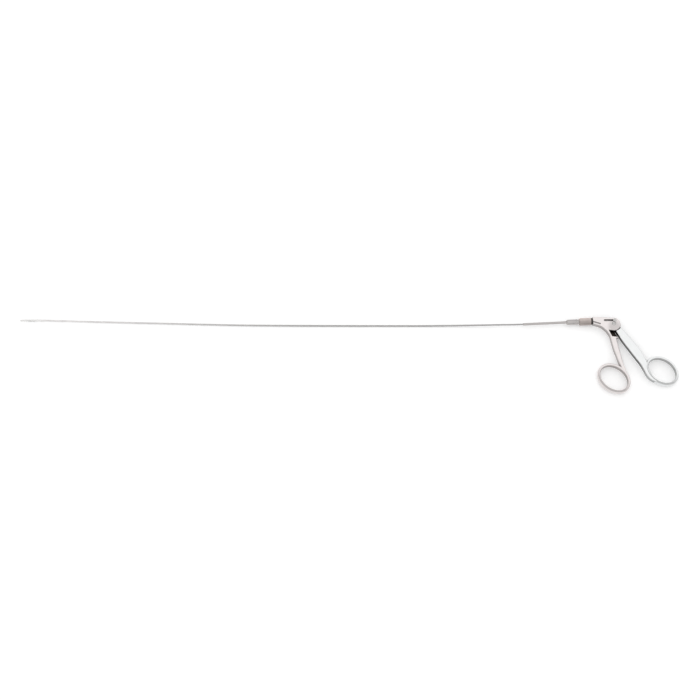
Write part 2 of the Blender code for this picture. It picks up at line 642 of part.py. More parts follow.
def jaw(name, side, mat):
    """One jaw with its tail. Its origin is the pivot; side 1 opens toward +Y and lies on top."""
    at = (*TIP, TIP_Z)
    nose = JAW_RADIUS * 0.9
    bow = [(-(JAW_LENGTH - nose + nose * sin(a)), JAW_RADIUS * cos(a) ** 0.8)
           for a in (radians(d) for d in (0, 25, 50, 70))]
    profile = [(-JAW_ROOT, 0), (-JAW_ROOT, JAW_RADIUS)] + bow + [(-JAW_LENGTH, 0)]
    body = place(name, turned(profile, 20), mat, at)
    line = bite_line(side)
    away = -side * (JAW_RADIUS + CUT)
    other_half = line + [(line[-1][0], away), (line[0][0], away)]
    reach = JAW_RADIUS + CUT
    combine(body, place("cut_bite_" + name, plate(other_half, -reach, reach), at=at))
    combine(body, place("cut_groove_" + name, cylinder(-GROOVE_END, -GROOVE_START, JAW_GROOVE, 16),
                        at=at))
    low = TAIL_GAP if side > 0 else -TAIL_GAP - TAIL_THICK
    end = tail_end(side)
    tail = hull([(*end, EYE_HALF), (0, 0, EYE_HALF)], 20)
    neck = [(0, -side * 0.0003), (-JAW_ROOT + PLAY, -side * 0.0003),
            (-JAW_ROOT + PLAY, side * BITE_GAP * 1.5), (-JAW_ROOT - 0.0006, side * BITE_GAP * 1.5),
            (-JAW_ROOT - 0.0006, side * EYE_HALF * 0.95), (0, side * EYE_HALF * 0.95)]
    combine(body, place("join_neck_" + name, plate(neck, low, low + TAIL_THICK), at=at), "UNION")
    combine(body, place("join_tail_" + name, plate(tail, low, low + TAIL_THICK), at=at), "UNION")
    for x, y in ((0, 0), end):
        hole = cylinder(low - CUT, low + TAIL_THICK + CUT, RIVET_RADIUS + PLAY, 12, True)
        combine(body, place("cut_hole_" + name, hole, at=(at[0] + x, at[1] + y, at[2])))
    return body


def pin_path(side):
    """The wire-end pin seen from the link, as the jaw, link and wire each keep a steady rate."""
    start = atan2(-tail_end(side)[1], WIRE_END - tail_end(side)[0])
    wide = radians(TAIL_ANGLE + JAW_SWING)
    final = atan2(side * TAIL * sin(wide), WIRE_END - STROKE - TAIL * cos(wide))
    path = []
    for i in range(9):
        f = i / 8
        a, turn = radians(TAIL_ANGLE + JAW_SWING * f), start + (final - start) * f
        dx = WIRE_END - STROKE * f - TAIL * cos(a)
        dy = side * TAIL * sin(a)
        path.append((dx * cos(turn) + dy * sin(turn), dy * cos(turn) - dx * sin(turn)))
    return path, start, final


def link(name, side, mat):
    """Origin at the tail's rivet. The far eye is a slot, long enough for the pin's path."""
    path, start, _ = pin_path(side)
    inner = TAIL_GAP + TAIL_THICK + TAIL_GAP
    low = inner if side > 0 else -inner - LINK_THICK
    wall = EYE_HALF - RIVET_RADIUS - PLAY
    slot = END_PIN_RADIUS + PLAY
    outline = hull([(0, 0, EYE_HALF)] + [(x, y, slot + wall) for x, y in path], 20)
    x, y = tail_end(side)
    at = (TIP[0] + x, TIP[1] + y, TIP_Z)
    turn = (0, 0, start)
    body = place(name, plate(outline, low, low + LINK_THICK), mat, at, turn)
    hole = cylinder(low - CUT, low + LINK_THICK + CUT, RIVET_RADIUS + PLAY, 12, True)
    combine(body, place("cut_rivet_" + name, hole, at=at, turn=turn))
    opening = plate(hull([(x, y, slot) for x, y in path], 16), low - CUT, low + LINK_THICK + CUT)
    combine(body, place("cut_slot_" + name, opening, at=at, turn=turn))
    return body


def rivet(name, side, mat):
    """Through the tail and the link, with a thin head outside the link."""
    x, y = tail_end(side)
    top = TAIL_GAP + TAIL_THICK + TAIL_GAP + LINK_THICK + PLAY / 2
    profile = [(TAIL_GAP, 0), (TAIL_GAP, RIVET_RADIUS), (top, RIVET_RADIUS), (top, RIVET_HEAD),
               (top + RIVET_HEAD_THICK, RIVET_HEAD - PLAY), (top + RIVET_HEAD_THICK, 0)]
    if side < 0:
        profile = [(-h, r) for h, r in profile]
    place(name, turned(profile, 12, True), mat, (TIP[0] + x, TIP[1] + y, TIP_Z))


def wire_end_pieces(mat):
    """The flat block on the wire and the cross pin that both links hang on."""
    at = (TIP[0] + WIRE_END, TIP[1], TIP_Z)
    half, thick = END_BLOCK_HALF, END_BLOCK_THICK / 2
    outline = hull([(0, 0, half), (half * 0.7, half * 0.6, half * 0.3),
                    (half * 0.7, -half * 0.6, half * 0.3)], 20)
    body = place("wire_end_block", plate(outline, -thick, thick), mat, at)
    hole = cylinder(-thick - CUT, thick + CUT, END_PIN_RADIUS + PLAY, 12, True)
    combine(body, place("cut_end_pin", hole, at=at))
    reach = TAIL_GAP + TAIL_THICK + TAIL_GAP + LINK_THICK + PLAY
    place("wire_end_pin", cylinder(-reach, reach, END_PIN_RADIUS, 12, True), mat, at)


def main():
    clear_scene()
    warm = metal("satin steel, front handle", (0.84, 0.81, 0.81), 0.34)
    cool = metal("satin steel, rear handle", (0.85, 0.86, 0.88), 0.34)
    dull = metal("warm grey steel, nut", (0.66, 0.63, 0.60), 0.4)
    grey = metal("grey steel, tubes", (0.58, 0.57, 0.56), 0.36)
    coil = metal("coil steel", (0.52, 0.52, 0.52), 0.42)
    bright = metal("bright steel, tip", (0.74, 0.73, 0.72), 0.28)
    screws = metal("screw steel", (0.76, 0.76, 0.75), 0.3)
    dark = metal("seal rubber", (0.05, 0.045, 0.04), 0.7, 0.0)

    axis = empty("shaft_axis", (PIN_X, AXIS_HEIGHT, MID), (0, 0, TILT))
    front_handle(warm, axis)
    rear_handle(cool)
    top = HEAD_THICK
    screw("pivot_screw", screws, (0, 0, 0), PIVOT_FLOOR + SEAT, top - PIVOT_HEAD, top - SEAT,
          PIVOT_RADIUS, PIVOT_HEAD_RADIUS, 20)
    screw("rod_guide_screw", screws, (PIN_X, LEVER_ARM, 0), MID - TONGUE_THICK / 2 + SEAT,
          top + SEAT, top + SEAT + GUIDE_HEAD, PIN_RADIUS, GUIDE_HEAD_RADIUS, 75)
    pull_rod(grey, axis)
    tube_end = neck_pieces(dark, dull, grey, axis)
    shaft(coil, grey, tube_end)
    distal_sleeve(bright)
    clevis(bright)
    for word, side in (("left", 1), ("right", -1)):
        jaw("jaw_" + word, side, bright)
        link("link_" + word, side, bright)
        rivet("link_rivet_" + word, side, screws)
    wire_end_pieces(bright)


main()
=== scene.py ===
"""The finished look of the flexible grasping forceps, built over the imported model.

Metres, +Z up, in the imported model's own frame. The shaft runs toward -X and the handle's head
lies on the floor at the origin. Each operator makes one piece or one group of like pieces.
"""

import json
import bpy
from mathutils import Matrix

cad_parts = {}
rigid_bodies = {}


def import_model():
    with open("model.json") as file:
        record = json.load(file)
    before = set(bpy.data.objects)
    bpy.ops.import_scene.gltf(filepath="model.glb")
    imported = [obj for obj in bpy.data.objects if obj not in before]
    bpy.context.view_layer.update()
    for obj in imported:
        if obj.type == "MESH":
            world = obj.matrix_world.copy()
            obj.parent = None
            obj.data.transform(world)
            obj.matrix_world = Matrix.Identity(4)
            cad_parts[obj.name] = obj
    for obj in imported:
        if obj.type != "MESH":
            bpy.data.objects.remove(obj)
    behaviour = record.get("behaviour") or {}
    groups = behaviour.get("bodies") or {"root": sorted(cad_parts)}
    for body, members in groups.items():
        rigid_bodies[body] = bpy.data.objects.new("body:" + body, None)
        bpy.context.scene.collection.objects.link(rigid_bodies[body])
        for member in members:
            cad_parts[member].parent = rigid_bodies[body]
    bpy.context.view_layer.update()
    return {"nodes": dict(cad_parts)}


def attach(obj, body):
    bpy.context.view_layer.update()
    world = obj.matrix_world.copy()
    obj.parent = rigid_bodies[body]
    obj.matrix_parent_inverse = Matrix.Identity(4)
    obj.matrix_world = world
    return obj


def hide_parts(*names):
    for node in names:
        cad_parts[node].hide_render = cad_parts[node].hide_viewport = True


bl_info = {
    "name": "Flexible Grasping Forceps",
    "version": (1, 0, 0),
    "blender": (4, 5, 0),
    "location": "3D View > Sidebar > Forceps",
    "description": "Handle, neck, coil shaft and jaws with their finishes, and the white table",
    "category": "Object",
}

from bisect import bisect_right
from math import atan2, copysign, cos, pi, radians, sin, sqrt, tan

import bmesh
import bpy
from mathutils import Matrix, Vector
from mathutils.geometry import convex_hull_2d

for leftover in list(bpy.data.objects):
    bpy.data.objects.remove(leftover, do_unlink=True)
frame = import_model()

# Camera, for the 700 x 700 picture. CLIP is how near and how far it sees.
CAMERA_AT = (-0.26012, -0.45777, 1.33148)
CAMERA_DOWN = 72
CAMERA_LENS = 73.1
SENSOR = 36.0
CLIP = (0.05, 50.0)

# Table, lamp and room. WALLS_SEEN is where the walls brighten, from level (0) to straight up (1).
TABLE_HALF = 4.0
LAMP_AT = (-0.20, 0.85, 1.60)
LAMP_SIZE = (2.8, 2.2)
WALLS_SEEN = (0.05, 0.55)
WHITE = (1, 1, 1, 1)

# Distances within which two points are one, on a mesh and on a lathe's axis, and within which a
# side has no length and a point lies on a rim
MERGE = 1e-7
LATHE_MERGE = 1e-8
NO_LENGTH = 1e-9
ON_RIM = 1e-6

# Fits: gaps between pieces that are seated or that turn, and how far a cutting shape reaches past
SEAT = 0.00005
RUN = 0.00005
BORE_PLAY = 0.0002
SWING_GAP = 0.0004
CUT = 0.001

# Roundings: steps of a plate's rim, and the share of a side that one corner may take
RIM_STEPS = 5
CORNER_SHARE = 0.45

# Handle body. POWER is how square a bar's section is, 2 being an ellipse.
HEAD_THICK = 0.0076
MID = HEAD_THICK / 2
CHEEK_RADIUS = 0.0068
CHEEK_DROP = 0.0005
NECK_FACE = 0.0206
NECK_WIDTH = 0.0072
FORK_SLOT = 0.0031
SLOT_REACH = 0.0099
RECESS_FOOT = 0.0138
SPIGOT_RADIUS = 0.00275
SPIGOT_LENGTH = 0.0066
GROOVE_WIDTH = 0.0015
GROOVE_DEPTH = 0.0006
GROOVE_HEIGHT = 0.0029
GROOVE_TIP = (-0.0138, -0.0002)
NECK_SHOULDER = 0.0130
CHEEK_RIGHT = ((0.0013, -0.0077), (0.0021, -0.0094), (0.0036, -0.0122), (0.0045, -0.01405),
               (0.0030, -0.0147), (-0.0030, -0.0160))
HEAD_LEFT = ((-0.0044, -0.0125), (-0.0052, -0.0108), (-0.0062, -0.0092), (-0.0072, -0.0077),
             (-0.0083, -0.0064), (-0.0098, -0.0049), (-0.0113, -0.0036), (-0.0130, -0.0025),
             (-0.0150, -0.0017), (-0.0178, -0.0009))
CHEEK_BACK = (-0.0042, -0.0016, 0.0052)
RECESS_EDGE = 0.0015
RECESS_TOP = 0.0047
FORK_WALL = ((-0.00565, -0.0062), (-0.0040, -0.0105), (-0.0025, -0.0134))
FORK_BACK = ((-SLOT_REACH, 0.0100), (-SLOT_REACH, 0.0005), (-0.0064, -0.0040))
FORK_OPEN = 0.0155
FORK_TOP = 0.0100
FORK_STEP = 0.0040
ARM_THICK = 0.0070
ARM_POWER = 4.2
RING_POWER = 2.4
RING_THICK = 0.0072
RING_LONG = 0.0159
RING_SHORT = 0.0121
RING_TURN = -38
FRONT_RING = (-0.00275, -0.0557)
REAR_RING = (0.04465, -0.0482)
# (x, y, width) along the middle of each arm
FRONT_ARM = ((-0.0016, -0.0120, 0.0060), (-0.0005, -0.0180, 0.0058), (0.0010, -0.0250, 0.0056),
             (0.0027, -0.0315, 0.0050), (0.0044, -0.0380, 0.0045), (0.0060, -0.0430, 0.0040),
             (0.0076, -0.0470, 0.0034), (0.0094, -0.0510, 0.0022))
REAR_ARM = ((0.0036, -0.0040, 0.0062), (0.0053, -0.0069, 0.0074), (0.0107, -0.0149, 0.0090),
            (0.0169, -0.0235, 0.0097), (0.0227, -0.0322, 0.0095), (0.0268, -0.0400, 0.0075),
            (0.0292, -0.0466, 0.0056), (0.0313, -0.0519, 0.0048), (0.0345, -0.0562, 0.0038),
            (0.0385, -0.0588, 0.0022))

# Pivot, tongue and screws. SCREW_EDGE is the share of a head's height that its slant takes.
PIVOT_RADIUS = 0.0013
PIVOT_HEAD_RADIUS = 0.0019
PIVOT_HEAD = 0.0009
PIVOT_FLOOR = 0.0009
TONGUE_THICK = 0.0030
HUB_RADIUS = 0.0032
TONGUE_ROOT = (0.0066, -0.0077, 0.0026)
TINE_HALF = 0.0017
TINE_REACH = 0.0043
TAB_SIDE = 1.05 * TINE_HALF
AXIS_HEIGHT = 0.00445
AXIS_TILT = 2.67
PIN_DROP = 0.00115
PIN_RADIUS = 0.00075
GUIDE_HEAD_RADIUS = 0.0017
GUIDE_HEAD = 0.00095
WINDOW_HALF = 0.00095
ROD_RADIUS = 0.00075
EYE_THICK = 0.0011
EYE_RADIUS = 0.00115
DRIVER_SLOT = 0.0006
DRIVER_DEPTH = 0.7 * DRIVER_SLOT
SCREW_EDGE = 0.2
SCREW_ROUND = 0.00012

# Neck. LIP is the flat rim left at the nut's mouth and at the ferrule's far end.
SEAL_THICK = 0.00135
SEAL_RADIUS = 0.00325
SEAL_ROUND = 0.00025
NUT_LENGTH = 0.0118
NUT_RADIUS = 0.00375
NUT_MOUTH = 0.0024
NUT_NOSE = 0.0019
NUT_CHAMFER = 0.0003
LIP = 0.0004
FLANGE = 0.0020
FERRULE_LENGTH = 0.01935
FERRULE_WAIST = 0.00225
FERRULE_RADIUS = 0.00265
FERRULE_TAPER = 0.0012
TUBE_SEAT = 0.0106
TUBE_RADIUS = 0.00125
TUBE_LENGTH = 0.05325
TUBE_CHAMFER = (0.0003, 0.0002)
TUBE_ROUND = 0.0001

# Shaft
SHEATH_RADIUS = 0.000825
SHEATH_WALL = 0.000325
SHEATH_IN_TUBE = 0.0100
ROUTE = ((-0.0960, 0.0000, 0.00374), (-0.1120, -0.0001, 0.0034), (-0.1310, -0.0002, 0.0026),
         (-0.1500, -0.00027, 0.00175), (-0.1710, -0.00036, 0.00115), (-0.1900, -0.00043, 0.00089),
         (-0.2110, -0.00045, 0.00086), (-0.2500, -0.0004, 0.00086), (-0.2900, -0.0003, 0.00086),
         (-0.3290, -0.0001, 0.00086), (-0.3690, 0.0003, 0.00086), (-0.4090, 0.0012, 0.00086),
         (-0.4480, 0.0022, 0.00086), (-0.4880, 0.0032, 0.00086), (-0.5280, 0.0043, 0.00087),
         (-0.5470, 0.0049, 0.00092))

# Flat wire of the coil: how far its crown reaches, and how finely a turn is made
WIRE_CROWN = 0.55
STEPS_PER_TURN = 18
TURNS_AT_ONCE = 10
COIL_POINTS = 300

# Tip. CLEVIS_EARS is how far the ears are full before their dome begins.
TIP = (-0.5780, 0.0053)
TIP_Z = 0.000975
SLEEVE_RADIUS = 0.000975
SLEEVE_LENGTH = 0.0058
SLEEVE_BORE = 0.00086
SLEEVE_ROUND = 0.0002
CLEVIS_RADIUS = 0.00085
CLEVIS_SLOT = 0.0011
CLEVIS_EARS = 0.0002
CLEVIS_REACH = 0.0063
CLEVIS_STEM = 0.0025
CLEVIS_STEM_RADIUS = 0.00081
WIRE_BORE = 0.00032
JAW_PIN_HALF = 0.9 * CLEVIS_RADIUS
TAIL = 0.0025
LINK = 0.0029
TAIL_ANGLE = 5
JAW_SWING = 48
TAIL_GAP = 0.00003
TAIL_THICK = 0.0002
LINK_THICK = 0.00018
EYE_HALF = 0.00056
RIVET_RADIUS = 0.00022
RIVET_ROUND = 0.00007
RIVET_HEAD = 0.00034
RIVET_HEAD_THICK = 0.00006
PLAY = 0.00003
END_BLOCK_HALF = 0.0005

# Jaws. JAW_BLUNT makes the nose full, and TOOTH_EDGES is where a tooth rises and falls in its
# pitch. The neck joins a jaw to its tail.
JAW_RADIUS = 0.00083
JAW_LENGTH = 0.00885
JAW_ROOT = 0.0009
JAW_GROOVE = 0.00045
JAW_GROOVE_START = 0.0016
JAW_GROOVE_END = 0.0082
TEETH = 6
TOOTH_START = 0.0018
TOOTH_PITCH = 0.00112
TOOTH_HEIGHT = 0.0004
BITE_GAP = 0.00003
JAW_RIM = 0.00008
JAW_NECK = 0.0006
JAW_NOSE = 0.9 * JAW_RADIUS
JAW_BLUNT = 0.8
TOOTH_EDGES = (0.25, 0.75)
NECK_GAP = 1.5 * BITE_GAP
NECK_HALF = 0.95 * EYE_HALF

LEVER_ARM = AXIS_HEIGHT - PIN_DROP
TILT = radians(AXIS_TILT)


def wire_end(angle):
    """How far the wire-end pin lies behind the jaws' pivot at this angle of the tail."""
    return TAIL * cos(radians(angle)) + sqrt(LINK ** 2 - (TAIL * sin(radians(angle))) ** 2)


WIRE_END = wire_end(TAIL_ANGLE)
PIN_X = (WIRE_END - wire_end(TAIL_ANGLE + JAW_SWING)) / 2
NOTCH_ANGLE = atan2(LEVER_ARM, PIN_X)
SHAFT_AXIS = Matrix.Translation((PIN_X, AXIS_HEIGHT, MID)) @ Matrix.Rotation(TILT, 4, "Z")
AT_TIP = Matrix.Translation((*TIP, TIP_Z))

# How much painted shade each kind of surface takes, from bare steel to the painted dark inside the
# fork, window, groove, bores and screw slots. A ring's faces have a kind of their own for each
# level.
BARE, INSIDE, CUT_IN, DRIVER, RING = 0, 1, 2, 3, 4
SHADES = {BARE: 0.0, INSIDE: 1.0, CUT_IN: 0.62, DRIVER: 0.25}
RING_LEVELS = 6
RING_DARKEST = 0.55
SHADES.update({RING + i: RING_DARKEST * i / RING_LEVELS for i in range(RING_LEVELS + 1)})
# The dark colour that the painted shade goes toward
PAINTED_SHADE_COLOUR = (0.034, 0.028, 0.024, 1)

# Where a ring takes painted shade: which way its dark stretch faces and how soon that fades, then
# across the bar, from -1 at the finger to 1 outside, the painted dark line's middle and reach, and
# the painted shade on the inner wall
RING_DARK_SIDE = (-0.3, -0.95)
RING_DARK_FADE = (0.35, 0.9)
RING_LINE = (0.2, 0.85)
RING_WALL = (-0.55, 0.25)

# Where the steel's tones change: the painted side shade from side faces to flat ones by their tilt
# and down the arms to the rings, the brightening along the shaft to its far end, the greying round
# a spot on the cheek, and the painted highlight up a turned side
SIDE_SHADE_TILT = (0.12, 0.72)
ARM_SHADE_FADE = (-0.040, -0.053)
FAR_END_FADE = (-0.30, -0.54)
DULL_SPOT = (0.0004, -0.0030, HEAD_THICK)
DULL_REACH = (0.0035, 0.0082)
PAINTED_HIGHLIGHT_TILT = (-0.3, 0.6)

# Height of the fine relief on steel and on the seal, then how many clouds and specks steel shows
# in a metre, and how many spots the seal
STEEL_RELIEF = 0.00002
SEAL_RELIEF = 0.00003
CLOUDS = 170.0
SPECKS = 2600.0
MOTTLE = 1800.0


def axis_y(x):
    return AXIS_HEIGHT + (x - PIN_X) * tan(TILT)


def along_axis(x):
    return (x - PIN_X) / cos(TILT)


# Mesh helpers

def placed(name, bm):
    """A new object in the scene with the bmesh as its mesh. The bmesh is freed."""
    mesh = bpy.data.meshes.new(name)
    bm.to_mesh(mesh)
    bm.free()
    obj = bpy.data.objects.new(name, mesh)
    bpy.context.scene.collection.objects.link(obj)
    return obj


def finish_piece(name, bm, body, finish, stands_for, sharp=35):
    """Closes a bmesh into a named piece that rides on a body and stands for its CAD nodes."""
    bmesh.ops.remove_doubles(bm, verts=bm.verts, dist=MERGE)
    bmesh.ops.recalc_face_normals(bm, faces=bm.faces)
    # Each face's kind becomes its level of painted shade, and ring faces are marked for their own
    # side shade
    shade = bm.faces.layers.float.new("shade")
    ring = bm.faces.layers.float.new("ring")
    for face in bm.faces:
        face[shade] = SHADES[face.material_index]
        face[ring] = float(face.material_index >= RING)
        face.material_index = 0
    obj = placed(name, bm)
    obj.data.shade_smooth()
    obj.data.set_sharp_from_angle(angle=radians(sharp))
    obj.data.materials.append(finish)
    even = obj.modifiers.new("Even Normals", "WEIGHTED_NORMAL")
    even.keep_sharp = True
    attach(obj, body)
    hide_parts(*stands_for)
    return obj


def shape(name, bm, matrix=None, surface=BARE):
    """A closed helper shape, to be joined to a piece or cut from it, with its kind of surface,
    which sets its painted shade.
    """
    if matrix is not None:
        bmesh.ops.transform(bm, matrix=matrix, verts=bm.verts)
    bmesh.ops.remove_doubles(bm, verts=bm.verts, dist=MERGE)
    bmesh.ops.recalc_face_normals(bm, faces=bm.faces)
    if surface != BARE:
        for face in bm.faces:
            face.material_index = surface
    obj = placed(name, bm)
    for _ in SHADES:
        obj.data.materials.append(None)
    return obj


def joined(base, steps):
    """The base after each (operation, shape) in turn, as one bmesh. The helpers are removed."""
    for operation, other in steps:
        mod = base.modifiers.new(other.name, "BOOLEAN")
        mod.operation, mod.object, mod.solver = operation, other, "EXACT"
    bpy.context.view_layer.update()
    graph = bpy.context.evaluated_depsgraph_get()
    made = bpy.data.meshes.new_from_object(base.evaluated_get(graph), depsgraph=graph)
    bm = bmesh.new()
    bm.from_mesh(made)
    bpy.data.meshes.remove(made)
    for obj in [base] + [other for _, other in steps]:
        bpy.data.objects.remove(obj, do_unlink=True)
    if not bm.faces:
        raise RuntimeError("a joined shape came out empty")
    return bm


def union(name, bm, surface=BARE, matrix=None):
    return "UNION", shape(name, bm, matrix, surface)


def cut(name, bm, surface=BARE, matrix=None):
    return "DIFFERENCE", shape(name, bm, matrix, surface)


def turned(profile, steps=64, upright=False, matrix=None):
    """(distance, radius) points spun about X, or about Z when upright."""
    bm = bmesh.new()
    verts = [bm.verts.new((r, 0, x) if upright else (x, r, 0)) for x, r in profile]
    ends_on_axis = profile[0][1] == 0 and profile[-1][1] == 0
    pairs = list(zip(verts, verts[1:])) + ([] if ends_on_axis else [(verts[-1], verts[0])])
    edges = [bm.edges.new(pair) for pair in pairs]
    bmesh.ops.spin(bm, geom=verts + edges, cent=(0, 0, 0), dvec=(0, 0, 0), angle=2 * pi,
                   axis=(0, 0, 1) if upright else (1, 0, 0), steps=steps, use_merge=True)
    bmesh.ops.remove_doubles(bm, verts=bm.verts, dist=LATHE_MERGE)
    if matrix is not None:
        bmesh.ops.transform(bm, matrix=matrix, verts=bm.verts)
    return bm


def rounded(profile, radius, steps=3):
    """The profile with each inner corner turned into a small arc, as a lathe tool leaves it."""
    points = [profile[0]]
    for before, corner, after in zip(profile, profile[1:], profile[2:]):
        a, b, c = Vector(before), Vector(corner), Vector(after)
        if min((a - b).length, (c - b).length, b.y) < NO_LENGTH:
            points.append(corner)
            continue
        reach = min(radius, (a - b).length * CORNER_SHARE, (c - b).length * CORNER_SHARE)
        start, end = b + (a - b).normalized() * reach, b + (c - b).normalized() * reach
        for i in range(steps + 1):
            t = i / steps
            points.append(tuple(start * (1 - t) ** 2 + b * 2 * t * (1 - t) + end * t * t))
    return points + [profile[-1]]


def cylinder(start, end, radius, steps=48, upright=False):
    return turned([(start, 0), (start, radius), (end, radius), (end, 0)], steps, upright)


def plate(outline, low, high, round_top=0.0, round_low=0.0):
    """A closed outline in XY, given thickness from low to high, with rounded rims if asked."""
    bm = bmesh.new()
    face = bm.faces.new([bm.verts.new((x, y, low)) for x, y in outline])
    grown = bmesh.ops.extrude_face_region(bm, geom=[face])
    top = [v for v in grown["geom"] if isinstance(v, bmesh.types.BMVert)]
    bmesh.ops.translate(bm, verts=top, vec=(0, 0, high - low))
    for height, width in ((high, round_top), (low, round_low)):
        if width:
            rim = [e for e in bm.edges if all(abs(v.co.z - height) < ON_RIM for v in e.verts)]
            bmesh.ops.bevel(bm, geom=rim, offset=width, segments=RIM_STEPS, profile=0.5,
                            affect="EDGES", clamp_overlap=True, material=-1)
    return bm


def arc(centre, radius, start, end, steps):
    angles = [radians(start + (end - start) * i / steps) for i in range(steps + 1)]
    return [(centre[0] + radius * cos(a), centre[1] + radius * sin(a)) for a in angles]


def hull(circles, sides=64):
    """The outline stretched round circles given as (x, y, radius)."""
    points = [p for x, y, r in circles for p in arc((x, y), r, 0, 360 - 360 / sides, sides - 1)]
    return [points[i] for i in convex_hull_2d([Vector(p) for p in points])]


def section(bm, x, y, heading, half_wide, half_high, power, sides):
    """A rounded loop across a bar that runs along the heading in the XY plane."""
    loop = bmesh.ops.create_circle(bm, segments=sides, radius=1.0)["verts"]
    for vert in loop:
        c, s = vert.co.x, vert.co.y
        wide = half_wide * copysign(abs(c) ** (2 / power), c)
        high = half_high * copysign(abs(s) ** (2 / power), s)
        vert.co = (x - sin(heading) * wide, y + cos(heading) * wide, MID + high)
    return list({edge for vert in loop for edge in vert.link_edges})


def skin(bm, loops, closed=False):
    """Bridges neighbouring loops, and fills the two ends of an open bar."""
    pairs = list(zip(loops, loops[1:])) + ([(loops[-1], loops[0])] if closed else [])
    for a, b in pairs:
        bmesh.ops.bridge_loops(bm, edges=a + b)
    if not closed:
        bmesh.ops.holes_fill(bm, edges=[e for e in bm.edges if e.is_boundary], sides=0)
    return bm


def arm_bar(path, root_thick, steps=10, sides=40):
    """A bar along (x, y, width) points, with the arm's thickness from its second point on."""
    fine = []
    for i in range(len(path) - 1):
        for s in range(steps if i < len(path) - 2 else steps + 1):
            t = s / steps
            p = [path[max(i - 1, 0)], path[i], path[i + 1], path[min(i + 2, len(path) - 1)]]
            fine.append([0.5 * (2 * b + (c - a) * t + (2 * a - 5 * b + 4 * c - d) * t * t
                                + (3 * b - a - 3 * c + d) * t ** 3) for a, b, c, d in zip(*p)])
    bm, loops = bmesh.new(), []
    for i, (x, y, width) in enumerate(fine):
        before, after = fine[max(i - 1, 0)], fine[min(i + 1, len(fine) - 1)]
        heading = atan2(after[1] - before[1], after[0] - before[0])
        thick = ARM_THICK + (root_thick - ARM_THICK) * max(0, min(1, 2 - i / steps))
        loops.append(section(bm, x, y, heading, width / 2, thick / 2, ARM_POWER, sides))
    return skin(bm, loops)


def clamped(value):
    return max(0.0, min(1.0, value))


def spun(point, angle):
    return Matrix.Rotation(angle, 2) @ Vector(point)


def ring_shade(turn, place, bar):
    """How much painted shade a ring face takes, from where its middle lies round the ring and
    across
    its bar: painted shade on the wall toward the finger, and a painted dark line along the top on
    the ring's lower left."""
    level = spun(place, -turn)
    a = atan2(level.y / RING_SHORT, level.x / RING_LONG)
    out = Vector((cos(a) / RING_LONG, sin(a) / RING_SHORT)).normalized()
    across = (level - Vector((RING_LONG * cos(a), RING_SHORT * sin(a)))).dot(out) / bar * 2
    facing = spun(out, turn).dot(Vector(RING_DARK_SIDE))
    lower_left = clamped(RING_DARK_FADE[0] + RING_DARK_FADE[1] * facing)
    line = lower_left * max(0.0, 1.0 - abs(across - RING_LINE[0]) / RING_LINE[1])
    wall = (1 - lower_left) * clamped((RING_WALL[0] - across) / RING_WALL[1])
    return max(line, wall)


def finger_ring(centre, bar, steps=112, sides=32):
    """A finger ring: an oval bar, its flat side toward the finger."""
    turn, bm, loops = radians(RING_TURN), bmesh.new(), []
    for i in range(steps):
        a = 2 * pi * i / steps
        x, y = Vector(centre) + spun((RING_LONG * cos(a), RING_SHORT * sin(a)), turn)
        ahead = spun((-RING_LONG * sin(a), RING_SHORT * cos(a)), turn)
        loops.append(section(bm, x, y, atan2(ahead.y, ahead.x), bar / 2, RING_THICK / 2,
                             RING_POWER, sides))
    skin(bm, loops, closed=True)
    # Each face's kind holds its level of painted shade
    for face in bm.faces:
        place = face.calc_center_median().xy - Vector(centre)
        face.material_index = RING + round(RING_LEVELS * ring_shade(turn, place, bar))
    return bm


# Finishes

class Maker:
    """Adds nodes to one tree, and sets or links their inputs, given by name or number."""

    def __init__(self, tree):
        self.tree = tree

    def set(self, node, inputs):
        for key, value in inputs.items():
            if isinstance(value, bpy.types.NodeSocket):
                self.tree.links.new(value, node.inputs[key])
            else:
                node.inputs[key].default_value = value
        return node

    def add(self, kind, inputs=None, **settings):
        node = self.tree.nodes.new("ShaderNode" + kind)
        for key, value in settings.items():
            setattr(node, key, value)
        return self.set(node, inputs or {})

    def noise(self, at, scale, detail, roughness):
        return self.add("TexNoise", {"Vector": at, "Scale": scale, "Detail": detail,
                                     "Roughness": roughness}).outputs["Fac"]

    def maths(self, operation, *values, **settings):
        return self.add("Math", dict(enumerate(values)), operation=operation,
                        **settings).outputs["Value"]

    def mixed(self, factor, a, b, **settings):
        """A where the factor is 0, b where it is 1. Colours, unless data_type says otherwise."""
        settings = {"data_type": "RGBA", **settings}
        return self.add("Mix", {"Factor": factor, "A": a, "B": b}, **settings).outputs["Result"]

    def fitted(self, value, span, low, high, **settings):
        """Low where the value is at the start of the span, high at its end, even between."""
        return self.add("MapRange", {"Value": value, "From Min": span[0], "From Max": span[1],
                                     "To Min": low, "To Max": high}, **settings).outputs["Result"]

    def split(self, vector):
        return self.add("SeparateXYZ", {"Vector": vector}).outputs

    def bump(self, height, strength, distance):
        return self.add("Bump", {"Height": height, "Strength": strength,
                                 "Distance": distance}).outputs["Normal"]


def new_finish(name):
    mat = bpy.data.materials.new(name)
    mat.use_nodes = True
    return mat, Maker(mat.node_tree), mat.node_tree.nodes["Principled BSDF"]


def toned(colour, share):
    return (*[min(1, c * share) for c in colour], 1)


